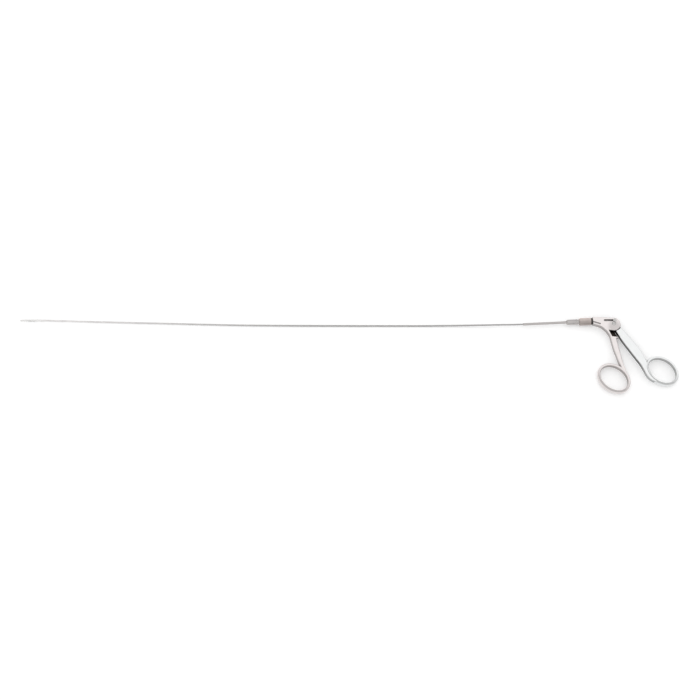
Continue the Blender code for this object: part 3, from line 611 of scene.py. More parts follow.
def steel(name, colour, roughness, grain, turn=0.0, spread=0.06, wear=0.05,
          sides=(1.0, 1.0, 1.0), far_end=1.0, dull=1.0, upper=1.0):
    """Steel with a brushed or turned grain. The grain is fine across the longest entries of grain,
    in features per millimetre, and the clouds are the slow changes left by handling. Sides is how
    bright the side faces are against the flat ones, as painted shade: on the arm, where the arm
    meets the ring, and on the ring. Far_end is the same for the shaft's far end, which is made
    brighter, dull for the steel round the pivot, which is made greyer, and upper for the side of a
    turned piece that faces away from the rings, which gets a painted highlight."""
    mat, make, shader = new_finish(name)
    mat.diffuse_color = (*colour, 1.0)
    place = make.add("TexCoord").outputs
    at, facing, along = place["Object"], make.split(place["Normal"]), make.split(place["Object"])
    stretched = make.add("Mapping", {"Vector": at, "Rotation": (0, 0, radians(turn)),
                                     "Scale": [g * 1000 for g in grain]}).outputs["Vector"]
    strokes = make.noise(stretched, 1.0, 4.0, 0.6)
    clouds = make.noise(at, CLOUDS, 3.0, 0.5)
    specks = make.noise(at, SPECKS, 2.0, 0.5)
    blend = make.maths("MULTIPLY_ADD", strokes, 0.5, make.maths("MULTIPLY", clouds, 0.5))
    tone = make.mixed(make.fitted(blend, (0.35, 0.65), 0.0, 1.0), toned(colour, 1 - spread),
                      toned(colour, 1 + spread))

    # Painted shade on the side faces, by their tilt, with its own level on the arm, near the rings
    # and on the rings
    on_ring = make.add("Attribute", attribute_name="ring").outputs["Fac"]
    arm_side_shade = make.fitted(along["Y"], ARM_SHADE_FADE, sides[0], sides[1])
    side = make.fitted(on_ring, (0.0, 1.0), arm_side_shade, sides[2])
    level = make.fitted(make.maths("ABSOLUTE", facing["Z"]), SIDE_SHADE_TILT, side, 1.0)
    to_spot = make.add("VectorMath", {0: at, 1: DULL_SPOT}, operation="DISTANCE").outputs["Value"]
    # Each change multiplies the level: brighter toward the shaft's far end, a painted highlight on
    # the upward side of a turned piece, and greyer round the spot on the cheek
    for change in (make.fitted(along["X"], FAR_END_FADE, 1.0, far_end),
                   make.fitted(facing["Y"], PAINTED_HIGHLIGHT_TILT, 1.0, upper),
                   make.fitted(to_spot, DULL_REACH, dull, 1.0, interpolation_type="SMOOTHSTEP")):
        level = make.maths("MULTIPLY", level, change)
    # The tone times the painted side shade, the painted highlight and the brighter and greyer
    # places
    ground = make.mixed(1.0, tone, level, blend_type="MULTIPLY")
    # Painted shade on recesses, slots and rings, toward the dark colour
    shade = make.add("Attribute", attribute_name="shade").outputs["Fac"]

    relief = make.maths("MULTIPLY_ADD", specks, 0.3, strokes)
    make.set(shader, {
        "Metallic": 1.0,
        "Base Color": make.mixed(shade, ground, PAINTED_SHADE_COLOUR),
        "Roughness": make.fitted(blend, (0.3, 0.7), max(0.05, roughness - wear), roughness + wear),
        "Normal": make.bump(relief, 0.25, STEEL_RELIEF),
    })
    return mat


def rubber(name, colour):
    """Dark seal material: matt, with a fine mottle."""
    mat, make, shader = new_finish(name)
    mat.diffuse_color = (*colour, 1.0)
    mottle = make.noise(make.add("TexCoord").outputs["Object"], MOTTLE, 4.0, 0.6)
    make.set(shader, {
        "Roughness": 0.62,
        "Base Color": make.mixed(mottle, toned(colour, 0.7), toned(colour, 1.6)),
        "Normal": make.bump(mottle, 0.4, SEAL_RELIEF),
    })
    return mat


def seen_rays(make):
    """One for the rays that see the backdrop: from the camera, off metal or through glass."""
    path = make.add("LightPath").outputs
    seen = make.maths("ADD", path["Is Camera Ray"], path["Is Glossy Ray"], use_clamp=True)
    return make.maths("ADD", seen, path["Is Transmission Ray"], use_clamp=True)


def table_top(name, colour, lift):
    """Plain pale table, white with its soft shadows where the camera and mirrored rays see it."""
    mat, make, shader = new_finish(name)
    seen = seen_rays(make)
    make.set(shader, {
        "Roughness": 0.9,
        "Specular IOR Level": 0.0,
        "Base Color": make.mixed(seen, (*colour, 1), WHITE),
        "Emission Color": WHITE,
        "Emission Strength": make.maths("MULTIPLY", seen, lift),
    })
    return mat


def finish_of(name):
    """The finish with this name, made from the panel's values when it is first asked for."""
    if name in bpy.data.materials:
        return bpy.data.materials[name]
    look = bpy.context.scene.forceps_finish
    if name == "Front Handle Satin":
        # Both handles take painted shade on their side faces
        return steel(name, look.front_steel, look.satin, (5.0, 0.35, 5.0), 10, 0.04,
                     sides=(look.front_side_shade, look.arm_end_shade, look.ring_side_shade), dull=look.dull)
    if name == "Rear Handle Satin":
        return steel(name, look.rear_steel, look.satin, (5.0, 0.35, 5.0), 33, 0.04,
                     sides=(look.rear_side_shade, look.arm_end_shade, look.ring_side_shade))
    if name == "Nut Steel":
        # The nut's upper side gets a painted highlight
        return steel(name, look.nut_steel, 0.36, (7.0, 0.25, 0.25), AXIS_TILT, 0.08,
                     upper=look.nut_highlight)
    if name == "Tube Steel":
        return steel(name, look.tube_steel, 0.3, (6.0, 0.3, 0.3), AXIS_TILT, 0.08)
    if name == "Coil Steel":
        return steel(name, look.coil_steel, 0.34, (1.2, 3.0, 3.0), 0, 0.1, 0.08,
                     far_end=look.far_end)
    if name == "Tip Steel":
        return steel(name, look.tip_steel, 0.24, (9.0, 3.0, 3.0), 0, 0.06, 0.06)
    if name == "Screw Steel":
        return steel(name, look.screw_steel, 0.26, (4.0, 4.0, 4.0), 0, 0.06)
    if name == "Seal Rubber":
        return rubber(name, look.seal_dark)
    raise RuntimeError(f"there is no finish named {name}")


# Outlines of the handle

def head_outline():
    """The head in plan: neck, lower cheek round the pivot, and the root of the front arm."""
    c, s = cos(TILT), sin(TILT)
    y = axis_y(-NECK_FACE)
    top = (-NECK_FACE - s * NECK_WIDTH / 2, y + c * NECK_WIDTH / 2)
    low = (-NECK_FACE + s * NECK_WIDTH / 2, y - c * NECK_WIDTH / 2)
    cheek = arc((0, -CHEEK_DROP), CHEEK_RADIUS, 102, -70, 48)
    shoulder = (-NECK_SHOULDER, top[1] - 2 * SEAT)
    return [top, shoulder] + cheek + list(CHEEK_RIGHT) + list(HEAD_LEFT) + [low]


def cheek_outline():
    return hull([(0, -CHEEK_DROP, CHEEK_RADIUS), CHEEK_BACK], 96)


def fork_foot():
    """The last points of both fork outlines: along the step at the foot, and up on the right."""
    low = -RECESS_FOOT - SWING_GAP
    return [(FORK_STEP, low), (FORK_OPEN, low), (FORK_OPEN, FORK_TOP)]


def recess_outline():
    start = [(RECESS_EDGE, FORK_TOP), (RECESS_EDGE, -RECESS_TOP), (-RECESS_TOP, -RECESS_TOP)]
    return start + list(FORK_WALL) + fork_foot()


def slot_outline():
    return list(FORK_BACK) + list(FORK_WALL) + fork_foot()


def tongue_outline():
    """The hub, its arm toward the rear handle, and the notched tab for the guide screw."""
    c, s = cos(NOTCH_ANGLE), sin(NOTCH_ANGLE)

    def to_notch(p):
        return p[0] * s - p[1] * c, p[0] * c + p[1] * s

    def from_notch(p):
        return p[0] * s + p[1] * c, -p[0] * c + p[1] * s

    outline = [to_notch(p) for p in hull([(0, 0, HUB_RADIUS), TONGUE_ROOT], 64)]
    outline.sort(key=lambda p: atan2(p[1], p[0]) % (2 * pi))
    shoulder = sqrt(HUB_RADIUS ** 2 - TINE_HALF ** 2)
    notch, depth = PIN_RADIUS + RUN, LEVER_ARM - PIN_RADIUS - 2 * RUN
    tab = [(TINE_HALF, shoulder), (TINE_HALF, TINE_REACH), (notch, TINE_REACH), (notch, depth)]
    tab += [(-x, y) for x, y in reversed(tab)]
    right = [p for p in outline if not (p[1] > 0 and p[0] < TAB_SIDE)]
    low = [p for p in right if p[1] <= 0]
    high = [p for p in right if p[1] > 0]
    left = [p for p in outline if p[1] > 0 and p[0] < -TAB_SIDE]
    return [from_notch(p) for p in high + tab + left + low]


# The shaft's route

def smooth_at(points, x):
    """The height of a smooth curve through (x, value) points, which run toward -X."""
    i = max(1, min(len(points) - 1, sum(p[0] > x for p in points)))
    slopes = []
    for k in (i - 1, i):
        before, after = points[max(k - 1, 0)], points[min(k + 1, len(points) - 1)]
        slopes.append((after[1] - before[1]) / (after[0] - before[0]))
    (x0, y0), (x1, y1) = points[i - 1], points[i]
    t, h = (x - x0) / (x1 - x0), x1 - x0
    return (y0 * (1 + 2 * t) * (1 - t) ** 2 + slopes[0] * h * t * (1 - t) ** 2
            + y1 * t * t * (3 - 2 * t) + slopes[1] * h * t * t * (t - 1))


def tube_far_end():
    """The support tube's far end, as a distance along the tilted axis."""
    ferrule_end = along_axis(-NECK_FACE) - SPIGOT_LENGTH - 2 * SEAT - FERRULE_LENGTH
    return ferrule_end + TUBE_SEAT - TUBE_LENGTH


def shaft_points(count):
    """Points on the middle line of the coil, from inside the support tube to inside the sleeve."""
    last = PIN_X + tube_far_end() * cos(TILT)
    inside = [(x, axis_y(x), MID) for x in (last + 2 * SHEATH_IN_TUBE, last + SHEATH_IN_TUBE, last)]
    sleeve = TIP[0] + CLEVIS_REACH + SLEEVE_LENGTH
    tip = [(sleeve + SLEEVE_LENGTH / 2, TIP[1], TIP_Z), (sleeve, TIP[1], TIP_Z), (*TIP, TIP_Z)]
    route = inside + list(ROUTE) + tip
    side, height = [(p[0], p[1]) for p in route], [(p[0], p[2]) for p in route]
    start = last + SHEATH_IN_TUBE
    end = TIP[0] + CLEVIS_REACH + CLEVIS_STEM + 4 * SEAT
    points = []
    for i in range(count):
        x = start + (end - start) * i / (count - 1)
        if x < sleeve:
            points.append(Vector((x, TIP[1], TIP_Z)))
        else:
            points.append(Vector((x, smooth_at(side, x), smooth_at(height, x))))
    return points


def wound_coil(points, turns, wire_wide, groove):
    """A flat wire wound into a close coil and laid along the points."""
    lengths = [0.0]
    for a, b in zip(points, points[1:]):
        lengths.append(lengths[-1] + (b - a).length)
    pitch = lengths[-1] / turns
    wide, outer, inner = pitch * wire_wide / 2, SHEATH_RADIUS, SHEATH_RADIUS - SHEATH_WALL
    crown = wide * WIRE_CROWN
    profile = [(-wide, inner), (-wide, outer - groove), (-crown, outer), (crown, outer),
               (wide, outer - groove), (wide, inner)]
    bm = bmesh.new()
    verts = [bm.verts.new((x, r, 0)) for x, r in profile]
    edges = [bm.edges.new(p) for p in zip(verts, verts[1:] + verts[:1])]
    bmesh.ops.spin(bm, geom=verts + edges, cent=(0, 0, 0), axis=(1, 0, 0),
                   angle=2 * pi * TURNS_AT_ONCE, dvec=(pitch / STEPS_PER_TURN, 0, 0),
                   steps=STEPS_PER_TURN * TURNS_AT_ONCE, use_merge=False)
    first = bm.verts[:] + bm.edges[:] + bm.faces[:]
    for i in range(1, turns // TURNS_AT_ONCE):
        copy = bmesh.ops.duplicate(bm, geom=first)["geom"]
        bmesh.ops.translate(bm, verts=[v for v in copy if isinstance(v, bmesh.types.BMVert)],
                            vec=(pitch * TURNS_AT_ONCE * i, 0, 0))
    bmesh.ops.remove_doubles(bm, verts=bm.verts, dist=MERGE)
    bmesh.ops.holes_fill(bm, edges=[e for e in bm.edges if e.is_boundary], sides=0)
    for vert in bm.verts:
        s = min(max(vert.co.x, 0.0), lengths[-1])
        i = min(bisect_right(lengths, s), len(points) - 1)
        ahead = (points[i] - points[i - 1]).normalized()
        side = Vector((0, 0, 1)).cross(ahead).normalized()
        up = ahead.cross(side)
        vert.co = (points[i - 1] + ahead * (vert.co.x - lengths[i - 1]) + side * vert.co.y
                   + up * vert.co.z)
    return bm


# The jaws

def bite_line(side):
    """The toothed parting line, from the root to past the nose, on one jaw's side of it."""
    gap = side * BITE_GAP
    line = [(CUT - JAW_ROOT, gap), (-TOOTH_START, gap)]
    for i in range(TEETH):
        x = TOOTH_START + i * TOOTH_PITCH
        for share, height in zip(TOOTH_EDGES, (TOOTH_HEIGHT / 2, -TOOTH_HEIGHT / 2)):
            line.append((-(x + TOOTH_PITCH * share), height + gap))
    return line + [(-(TOOTH_START + TEETH * TOOTH_PITCH), gap), (-(JAW_LENGTH + CUT), gap)]


def tail_end(side):
    """The rivet in the tail of the jaw that opens toward +Y (side 1) or -Y (side -1)."""
    return TAIL * cos(radians(TAIL_ANGLE)), -side * TAIL * sin(radians(TAIL_ANGLE))


def toothed_jaw(side):
    """One half-round jaw with its row of teeth, the hollow along its middle and its flat tail."""
    bow = [(-(JAW_LENGTH - JAW_NOSE + JAW_NOSE * sin(a)), JAW_RADIUS * cos(a) ** JAW_BLUNT)
           for a in (radians(d) for d in range(0, 81, 8))]
    profile = [(-JAW_ROOT, 0), (-JAW_ROOT, JAW_RADIUS - JAW_RIM),
               (-JAW_ROOT - JAW_RIM, JAW_RADIUS)] + bow + [(-JAW_LENGTH, 0)]
    line, reach = bite_line(side), JAW_RADIUS + CUT
    other_half = line + [(line[-1][0], -side * reach), (line[0][0], -side * reach)]
    low = TAIL_GAP if side > 0 else -TAIL_GAP - TAIL_THICK
    high, end = low + TAIL_THICK, tail_end(side)
    root = -JAW_ROOT - JAW_NECK
    neck = [(0, -side * JAW_NECK / 2), (-JAW_ROOT + PLAY, -side * JAW_NECK / 2),
            (-JAW_ROOT + PLAY, side * NECK_GAP), (root, side * NECK_GAP),
            (root, side * NECK_HALF), (0, side * NECK_HALF)]
    hollow = cylinder(-JAW_GROOVE_END, -JAW_GROOVE_START, JAW_GROOVE, 32)
    tail = hull([(*end, EYE_HALF), (0, 0, EYE_HALF)], 48)
    # The hollow and the rivet holes take painted shade
    steps = [cut("bite", plate(other_half, -reach, reach), BARE, AT_TIP),
             cut("hollow", hollow, CUT_IN, AT_TIP),
             union("neck", plate(neck, low, high), BARE, AT_TIP),
             union("tail", plate(tail, low, high), BARE, AT_TIP)]
    for at in ((0, 0), end):
        hole = cylinder(low - CUT, high + CUT, RIVET_RADIUS + PLAY, 32, True)
        steps.append(cut("rivet_hole", hole, CUT_IN, AT_TIP @ Matrix.Translation((*at, 0))))
    return joined(shape("jaw", turned(profile, 56), AT_TIP), steps)


# Settings

class ForcepsSizes(bpy.types.PropertyGroup):
    """Sizes that can be changed before the pieces are built."""
    ring_bar: bpy.props.FloatProperty(
        name="Ring bar", description="Width of the bar of each finger ring",
        default=0.0032, min=0.002, max=0.005, precision=5, unit="LENGTH", subtype="DISTANCE")
    head_bevel: bpy.props.FloatProperty(
        name="Head edge", description="Rounding of the upper and lower rims of the head",
        default=0.0011, min=0.0002, max=0.0015, precision=5, unit="LENGTH", subtype="DISTANCE")
    coil_turns: bpy.props.IntProperty(
        name="Coil turns", description="Turns of flat wire along the whole shaft, in tens",
        default=550, min=100, max=800, step=10)
    coil_cover: bpy.props.FloatProperty(
        name="Wire cover", description="Share of the pitch that the flat wire covers",
        default=0.92, min=0.5, max=0.98, subtype="FACTOR")
    coil_groove: bpy.props.FloatProperty(
        name="Coil groove", description="How far the wire's edges fall away between two turns",
        default=0.00011, min=0.0, max=0.0002, precision=6, unit="LENGTH", subtype="DISTANCE")
    camera_lens: bpy.props.FloatProperty(
        name="Lens", description="Focal length of the camera", default=CAMERA_LENS,
        min=20, max=200, unit="CAMERA")


class ForcepsFinish(bpy.types.PropertyGroup):
    """Colours and finishes."""
    front_steel: bpy.props.FloatVectorProperty(
        name="Front handle", description="Warm satin steel of the front handle and head",
        default=(0.87, 0.82, 0.81), min=0, max=1, subtype="COLOR")
    rear_steel: bpy.props.FloatVectorProperty(
        name="Rear handle", description="Cooler satin steel of the rear handle",
        default=(0.90, 0.91, 0.91), min=0, max=1, subtype="COLOR")
    nut_steel: bpy.props.FloatVectorProperty(
        name="Union nut", description="Warm grey steel of the union nut",
        default=(0.41, 0.36, 0.34), min=0, max=1, subtype="COLOR")
    tube_steel: bpy.props.FloatVectorProperty(
        name="Tubes", description="Grey steel of the ferrule and the support tube",
        default=(0.50, 0.475, 0.465), min=0, max=1, subtype="COLOR")
    coil_steel: bpy.props.FloatVectorProperty(
        name="Coil", description="Grey steel of the coil shaft",
        default=(0.46, 0.45, 0.445), min=0, max=1, subtype="COLOR")
    tip_steel: bpy.props.FloatVectorProperty(
        name="Tip", description="Bright steel of the sleeve, clevis, jaws and links",
        default=(0.84, 0.83, 0.82), min=0, max=1, subtype="COLOR")
    screw_steel: bpy.props.FloatVectorProperty(
        name="Screws", description="Steel of the screws and rivets",
        default=(0.62, 0.61, 0.60), min=0, max=1, subtype="COLOR")
    seal_dark: bpy.props.FloatVectorProperty(
        name="Seal", description="Dark seal between the head and the union nut",
        default=(0.030, 0.026, 0.023), min=0, max=1, subtype="COLOR")
    # The next four are painted shade: how bright the side faces of the arms and rings are left
    front_side_shade: bpy.props.FloatProperty(
        name="Front side faces", description="Brightness of the front arm's ground side faces",
        default=0.5, min=0, max=1, subtype="FACTOR")
    rear_side_shade: bpy.props.FloatProperty(
        name="Rear side faces", description="Brightness of the rear arm's ground side faces",
        default=0.13, min=0, max=1, subtype="FACTOR")
    arm_end_shade: bpy.props.FloatProperty(
        name="Arm ends", description="Brightness of the arms' side faces beside the rings",
        default=0.45, min=0, max=1, subtype="FACTOR")
    # Strength of the painted highlight on the nut's upper side
    nut_highlight: bpy.props.FloatProperty(
        name="Nut upper side", description="Brightness of the nut's side away from the rings",
        default=1.8, min=0, max=3)
    ring_side_shade: bpy.props.FloatProperty(
        name="Ring side faces", description="Brightness of the sides of both finger rings",
        default=0.95, min=0, max=1, subtype="FACTOR")
    # How grey the steel is made round the pivot
    dull: bpy.props.FloatProperty(
        name="Rubbed cheek", description="Brightness of the steel that is rubbed round the pivot",
        default=0.74, min=0, max=1, subtype="FACTOR")
    # How much brighter the coil is made toward its far end
    far_end: bpy.props.FloatProperty(
        name="Far end", description="Brightness of the coil's polished far end",
        default=1.8, min=0.5, max=2)
    satin: bpy.props.FloatProperty(
        name="Satin", description="Roughness of the satin handles", default=0.36,
        min=0.05, max=0.9, subtype="FACTOR")
    table: bpy.props.FloatVectorProperty(
        name="Table", description="Plain pale table that the instrument lies on",
        default=(0.82, 0.82, 0.82), min=0, max=1, subtype="COLOR")
    sky: bpy.props.FloatProperty(
        name="Room light", description="Strength of the even light of the room",
        default=0.80, min=0, max=2)
    room_low: bpy.props.FloatProperty(
        name="Low walls", description="What metal shows of the room just above the table",
        default=0.5, min=0, max=1)
    lift: bpy.props.FloatProperty(
        name="Table white", description="What the seen table has beyond the light that falls on it",
        default=0.20, min=0, max=1)
    softbox: bpy.props.FloatProperty(
        name="Softbox", description="Power of the large soft lamp overhead", default=5.5,
        min=0, max=500, unit="POWER")


# Operators

class FORCEPS_OT_stage(bpy.types.Operator):
    """White table, even room light, one large soft lamp and the camera"""
    bl_idname = "forceps.stage"
    bl_label = "Table, Light and Camera"

    def execute(self, context):
        look = context.scene.forceps_finish
        bm = bmesh.new()
        bmesh.ops.create_grid(bm, x_segments=1, y_segments=1, size=TABLE_HALF)
        table = placed("table", bm)
        table.data.materials.append(table_top("White Table", look.table, look.lift))

        world = bpy.data.worlds.new("Studio Room")
        context.scene.world = world
        world.use_nodes = True
        make = Maker(world.node_tree)
        way = make.split(make.add("TexCoord").outputs["Generated"])
        walls = make.fitted(way["Z"], WALLS_SEEN, look.room_low, 1.0)
        glossy = make.add("LightPath").outputs["Is Glossy Ray"]
        make.set(world.node_tree.nodes["Background"], {
            "Color": WHITE,
            "Strength": make.maths("MULTIPLY",
                                   make.fitted(seen_rays(make), (0.0, 1.0), look.sky, 1.0),
                                   make.mixed(glossy, 1.0, walls, data_type="FLOAT")),
        })

        lamp = bpy.data.lights.new("softbox", "AREA")
        lamp.shape, lamp.size, lamp.size_y = "RECTANGLE", *LAMP_SIZE
        lamp.energy = look.softbox
        softbox = bpy.data.objects.new("softbox", lamp)
        softbox.location = LAMP_AT
        down = Vector((0.0, -LAMP_AT[1], -LAMP_AT[2]))
        softbox.rotation_euler = down.to_track_quat("-Z", "Y").to_euler()
        softbox.visible_glossy = False
        context.scene.collection.objects.link(softbox)

        lens = bpy.data.cameras.new("camera")
        lens.lens, lens.sensor_width = context.scene.forceps_sizes.camera_lens, SENSOR
        lens.clip_start, lens.clip_end = CLIP
        camera = bpy.data.objects.new("camera", lens)
        camera.location = CAMERA_AT
        camera.rotation_euler = (radians(90 - CAMERA_DOWN), 0, 0)
        context.scene.collection.objects.link(camera)
        context.scene.camera = camera
        context.scene.view_settings.view_transform = "Standard"
        return {"FINISHED"}


class FORCEPS_OT_coil_shaft(bpy.types.Operator):
    """Flexible shaft: a flat wire wound into a close coil, with the pull wire inside"""
    bl_idname = "forceps.coil_shaft"
    bl_label = "Coil Shaft"

    def execute(self, context):
        sizes = context.scene.forceps_sizes
        bm = wound_coil(shaft_points(COIL_POINTS), sizes.coil_turns, sizes.coil_cover,
                        sizes.coil_groove)
        coil = finish_piece("wound_coil", bm, "frame", finish_of("Coil Steel"),
                            ["coil_sheath"], 50)
        return {"FINISHED"}


class FORCEPS_OT_front_handle(bpy.types.Operator):
    """Head with fork slot, window and groove, front arm and finger ring"""
    bl_idname = "forceps.front_handle"
    bl_label = "Front Handle"

    def execute(self, context):
        sizes = context.scene.forceps_sizes
        bevel = sizes.head_bevel
        high = HEAD_THICK + CUT
        floor, ceiling = MID - FORK_SLOT / 2, MID + FORK_SLOT / 2
        at_neck = along_axis(-NECK_FACE)
        window = hull([(-SLOT_REACH + WINDOW_HALF, LEVER_ARM, WINDOW_HALF),
                       (PIN_X + PIN_RADIUS + BORE_PLAY, LEVER_ARM, WINDOW_HALF)])
        groove = hull([(-NECK_FACE - 2 * GROOVE_WIDTH, GROOVE_HEIGHT, GROOVE_WIDTH / 2),
                       (*GROOVE_TIP, GROOVE_WIDTH / 2)], 32)
        spigot = cylinder(at_neck - SPIGOT_LENGTH, at_neck + CUT, SPIGOT_RADIUS)
        rod_bore = cylinder(at_neck - SPIGOT_LENGTH - CUT, along_axis(-SLOT_REACH) + CUT,
                            ROD_RADIUS + BORE_PLAY, 32)
        screw_seat = cylinder(HEAD_THICK - PIVOT_HEAD - SEAT, high, PIVOT_HEAD_RADIUS + 2 * RUN,
                              48, True)
        # The recess, fork, window, groove and bores take painted shade through their kinds of
        # surface
        bm = joined(shape("head", plate(head_outline(), 0, HEAD_THICK, bevel, bevel)), [
            union("arm", arm_bar(FRONT_ARM, HEAD_THICK)),
            union("ring", finger_ring(FRONT_RING, sizes.ring_bar)),
            union("spigot", spigot, BARE, SHAFT_AXIS),
            cut("recess", plate(recess_outline(), floor, high), INSIDE),
            cut("fork", plate(slot_outline(), floor, ceiling), INSIDE),
            union("cheek", plate(cheek_outline(), ceiling, HEAD_THICK, bevel)),
            cut("window", plate(window, MID, high), CUT_IN),
            cut("groove", plate(groove, HEAD_THICK - GROOVE_DEPTH, high), CUT_IN),
            cut("pivot_hole", cylinder(PIVOT_FLOOR, high, PIVOT_RADIUS + RUN, 48, True), INSIDE),
            cut("screw_seat", screw_seat),
            cut("rod_bore", rod_bore, INSIDE, SHAFT_AXIS),
        ])
        finish_piece("front_handle_satin", bm, "frame", finish_of("Front Handle Satin"),
                     ["front_handle"], 30)
        return {"FINISHED"}


class FORCEPS_OT_rear_handle(bpy.types.Operator):
    """Rear arm and finger ring with the forked tongue that drives the pull rod"""
    bl_idname = "forceps.rear_handle"
    bl_label = "Rear Handle"

    def execute(self, context):
        sizes = context.scene.forceps_sizes
        turn_room = CHEEK_RADIUS + CHEEK_DROP + SWING_GAP
        half = TONGUE_THICK / 2
        reach, gap = TINE_REACH + CUT, EYE_THICK / 2 + 1.4 * RUN
        foot = LEVER_ARM - EYE_RADIUS - 2 * RUN
        split = plate([(-HUB_RADIUS - CUT, foot), (HUB_RADIUS + CUT, foot),
                       (HUB_RADIUS + CUT, reach), (-HUB_RADIUS - CUT, reach)], MID - gap, MID + gap)
        turn = Matrix.Rotation(NOTCH_ANGLE - pi / 2, 4, "Z")
        low, high = -CUT, HEAD_THICK + CUT
        # The shoulder, tongue, split and hole take painted shade through their kinds of surface
        bm = joined(shape("arm", arm_bar(REAR_ARM, ARM_THICK)), [
            cut("shoulder", cylinder(low, high, turn_room, 96, True), CUT_IN),
            union("ring", finger_ring(REAR_RING, sizes.ring_bar)),
            union("tongue", plate(tongue_outline(), MID - half, MID + half), INSIDE),
            cut("split", split, INSIDE, turn),
            cut("hub_hole", cylinder(low, high, PIVOT_RADIUS + RUN, 48, True), INSIDE),
        ])
        finish_piece("rear_handle_satin", bm, "lever", finish_of("Rear Handle Satin"),
                     ["rear_handle"], 30)
        return {"FINISHED"}


class FORCEPS_OT_neck(bpy.types.Operator):
    """Dark seal ring, union nut, ferrule and support tube, in line with the shaft"""
    bl_idname = "forceps.neck"
    bl_label = "Neck"

    def execute(self, context):
        bore = SPIGOT_RADIUS + RUN
        x = along_axis(-NECK_FACE) - SEAT
        seal = [(x, bore), (x, SEAL_RADIUS), (x - SEAL_THICK, SEAL_RADIUS), (x - SEAL_THICK, bore)]
        finish_piece("seal_ring_dark", turned(rounded(seal, SEAL_ROUND), 64, matrix=SHAFT_AXIS),
                     "frame", finish_of("Seal Rubber"), ["seal_ring"])
        x -= SEAL_THICK + SEAT
        spigot_end = along_axis(-NECK_FACE) - SPIGOT_LENGTH
        step = spigot_end - FLANGE - 2 * SEAT
        far = x - NUT_LENGTH
        round_off = NUT_RADIUS - NUT_MOUTH - LIP
        nose = [(far + NUT_NOSE * (1 - cos(a)), NUT_RADIUS - round_off * (1 - sin(a)))
                for a in (radians(7.5 * i) for i in range(13))]
        nut = [(x, bore), (x, NUT_RADIUS - NUT_CHAMFER), (x - NUT_CHAMFER, NUT_RADIUS)]
        nut += nose[::-1]
        nut += [(far, NUT_MOUTH), (step, NUT_MOUTH), (step, bore)]
        finish_piece("union_nut_turned", turned(nut, 96, matrix=SHAFT_AXIS), "frame",
                     finish_of("Nut Steel"), ["union_nut"], 25)
        waist = nose[0][0] - 2 * FERRULE_TAPER / 5
        x = spigot_end - SEAT
        far, seat = x - FERRULE_LENGTH, x - FERRULE_LENGTH + TUBE_SEAT
        wide, hole = ROD_RADIUS + BORE_PLAY, TUBE_RADIUS + RUN
        ferrule = [(x, wide), (x, SPIGOT_RADIUS), (x - FLANGE, SPIGOT_RADIUS),
                   (x - FLANGE, FERRULE_WAIST), (waist, FERRULE_WAIST),
                   (waist - FERRULE_TAPER, FERRULE_RADIUS), (far + FERRULE_TAPER, FERRULE_RADIUS),
                   (far, hole + LIP), (far, hole), (seat, hole), (seat, wide)]
        finish_piece("ferrule_turned", turned(ferrule, 64, matrix=SHAFT_AXIS), "frame",
                     finish_of("Tube Steel"), ["ferrule"], 25)
        x = seat - SEAT
        hole = SHEATH_RADIUS + 2 * RUN
        end, (long, deep) = x - TUBE_LENGTH, TUBE_CHAMFER
        tube = [(x, hole), (x, TUBE_RADIUS), (end + long, TUBE_RADIUS),
                (end, TUBE_RADIUS - deep), (end, hole)]
        bm = turned(rounded(tube, TUBE_ROUND), 48, matrix=SHAFT_AXIS)
        finish_piece("support_tube_turned", bm, "frame", finish_of("Tube Steel"),
                     ["support_tube"], 30)
        return {"FINISHED"}


class FORCEPS_OT_screws(bpy.types.Operator):
    """The flush pivot screw and the raised guide screw"""
    bl_idname = "forceps.screws"
    bl_label = "Screws"

    def execute(self, context):
        self.screw("pivot_screw_slotted", "frame", "pivot_screw", (0, 0), PIVOT_FLOOR + SEAT,
                   HEAD_THICK - PIVOT_HEAD, HEAD_THICK - SEAT, PIVOT_RADIUS, PIVOT_HEAD_RADIUS, 20)
        self.screw("guide_screw_slotted", "rod", "rod_guide_screw", (PIN_X, LEVER_ARM),
                   MID - TONGUE_THICK / 2 + SEAT, HEAD_THICK + SEAT,
                   HEAD_THICK + SEAT + GUIDE_HEAD, PIN_RADIUS, GUIDE_HEAD_RADIUS, 75)
        return {"FINISHED"}

    def screw(self, name, body, node, at, foot, head_foot, head_top, radius, head_radius, turn):
        edge = (head_top - head_foot) * SCREW_EDGE
        profile = [(foot, 0), (foot, radius), (head_foot, radius), (head_foot, head_radius),
                   (head_top - edge, head_radius), (head_top, head_radius - edge), (head_top, 0)]
        half, reach = DRIVER_SLOT / 2, head_radius + CUT
        bar = plate([(-reach, -half), (reach, -half), (reach, half), (-reach, half)],
                    head_top - DRIVER_DEPTH, head_top + CUT)
        there = Matrix.Translation((*at, 0))
        across = there @ Matrix.Rotation(radians(turn), 4, "Z")
        # The driver slot takes painted shade
        bm = joined(shape("blank", turned(rounded(profile, SCREW_ROUND), 48, True), there),
                    [cut("driver", bar, DRIVER, across)])
        finish_piece(name, bm, body, finish_of("Screw Steel"), [node], 30)


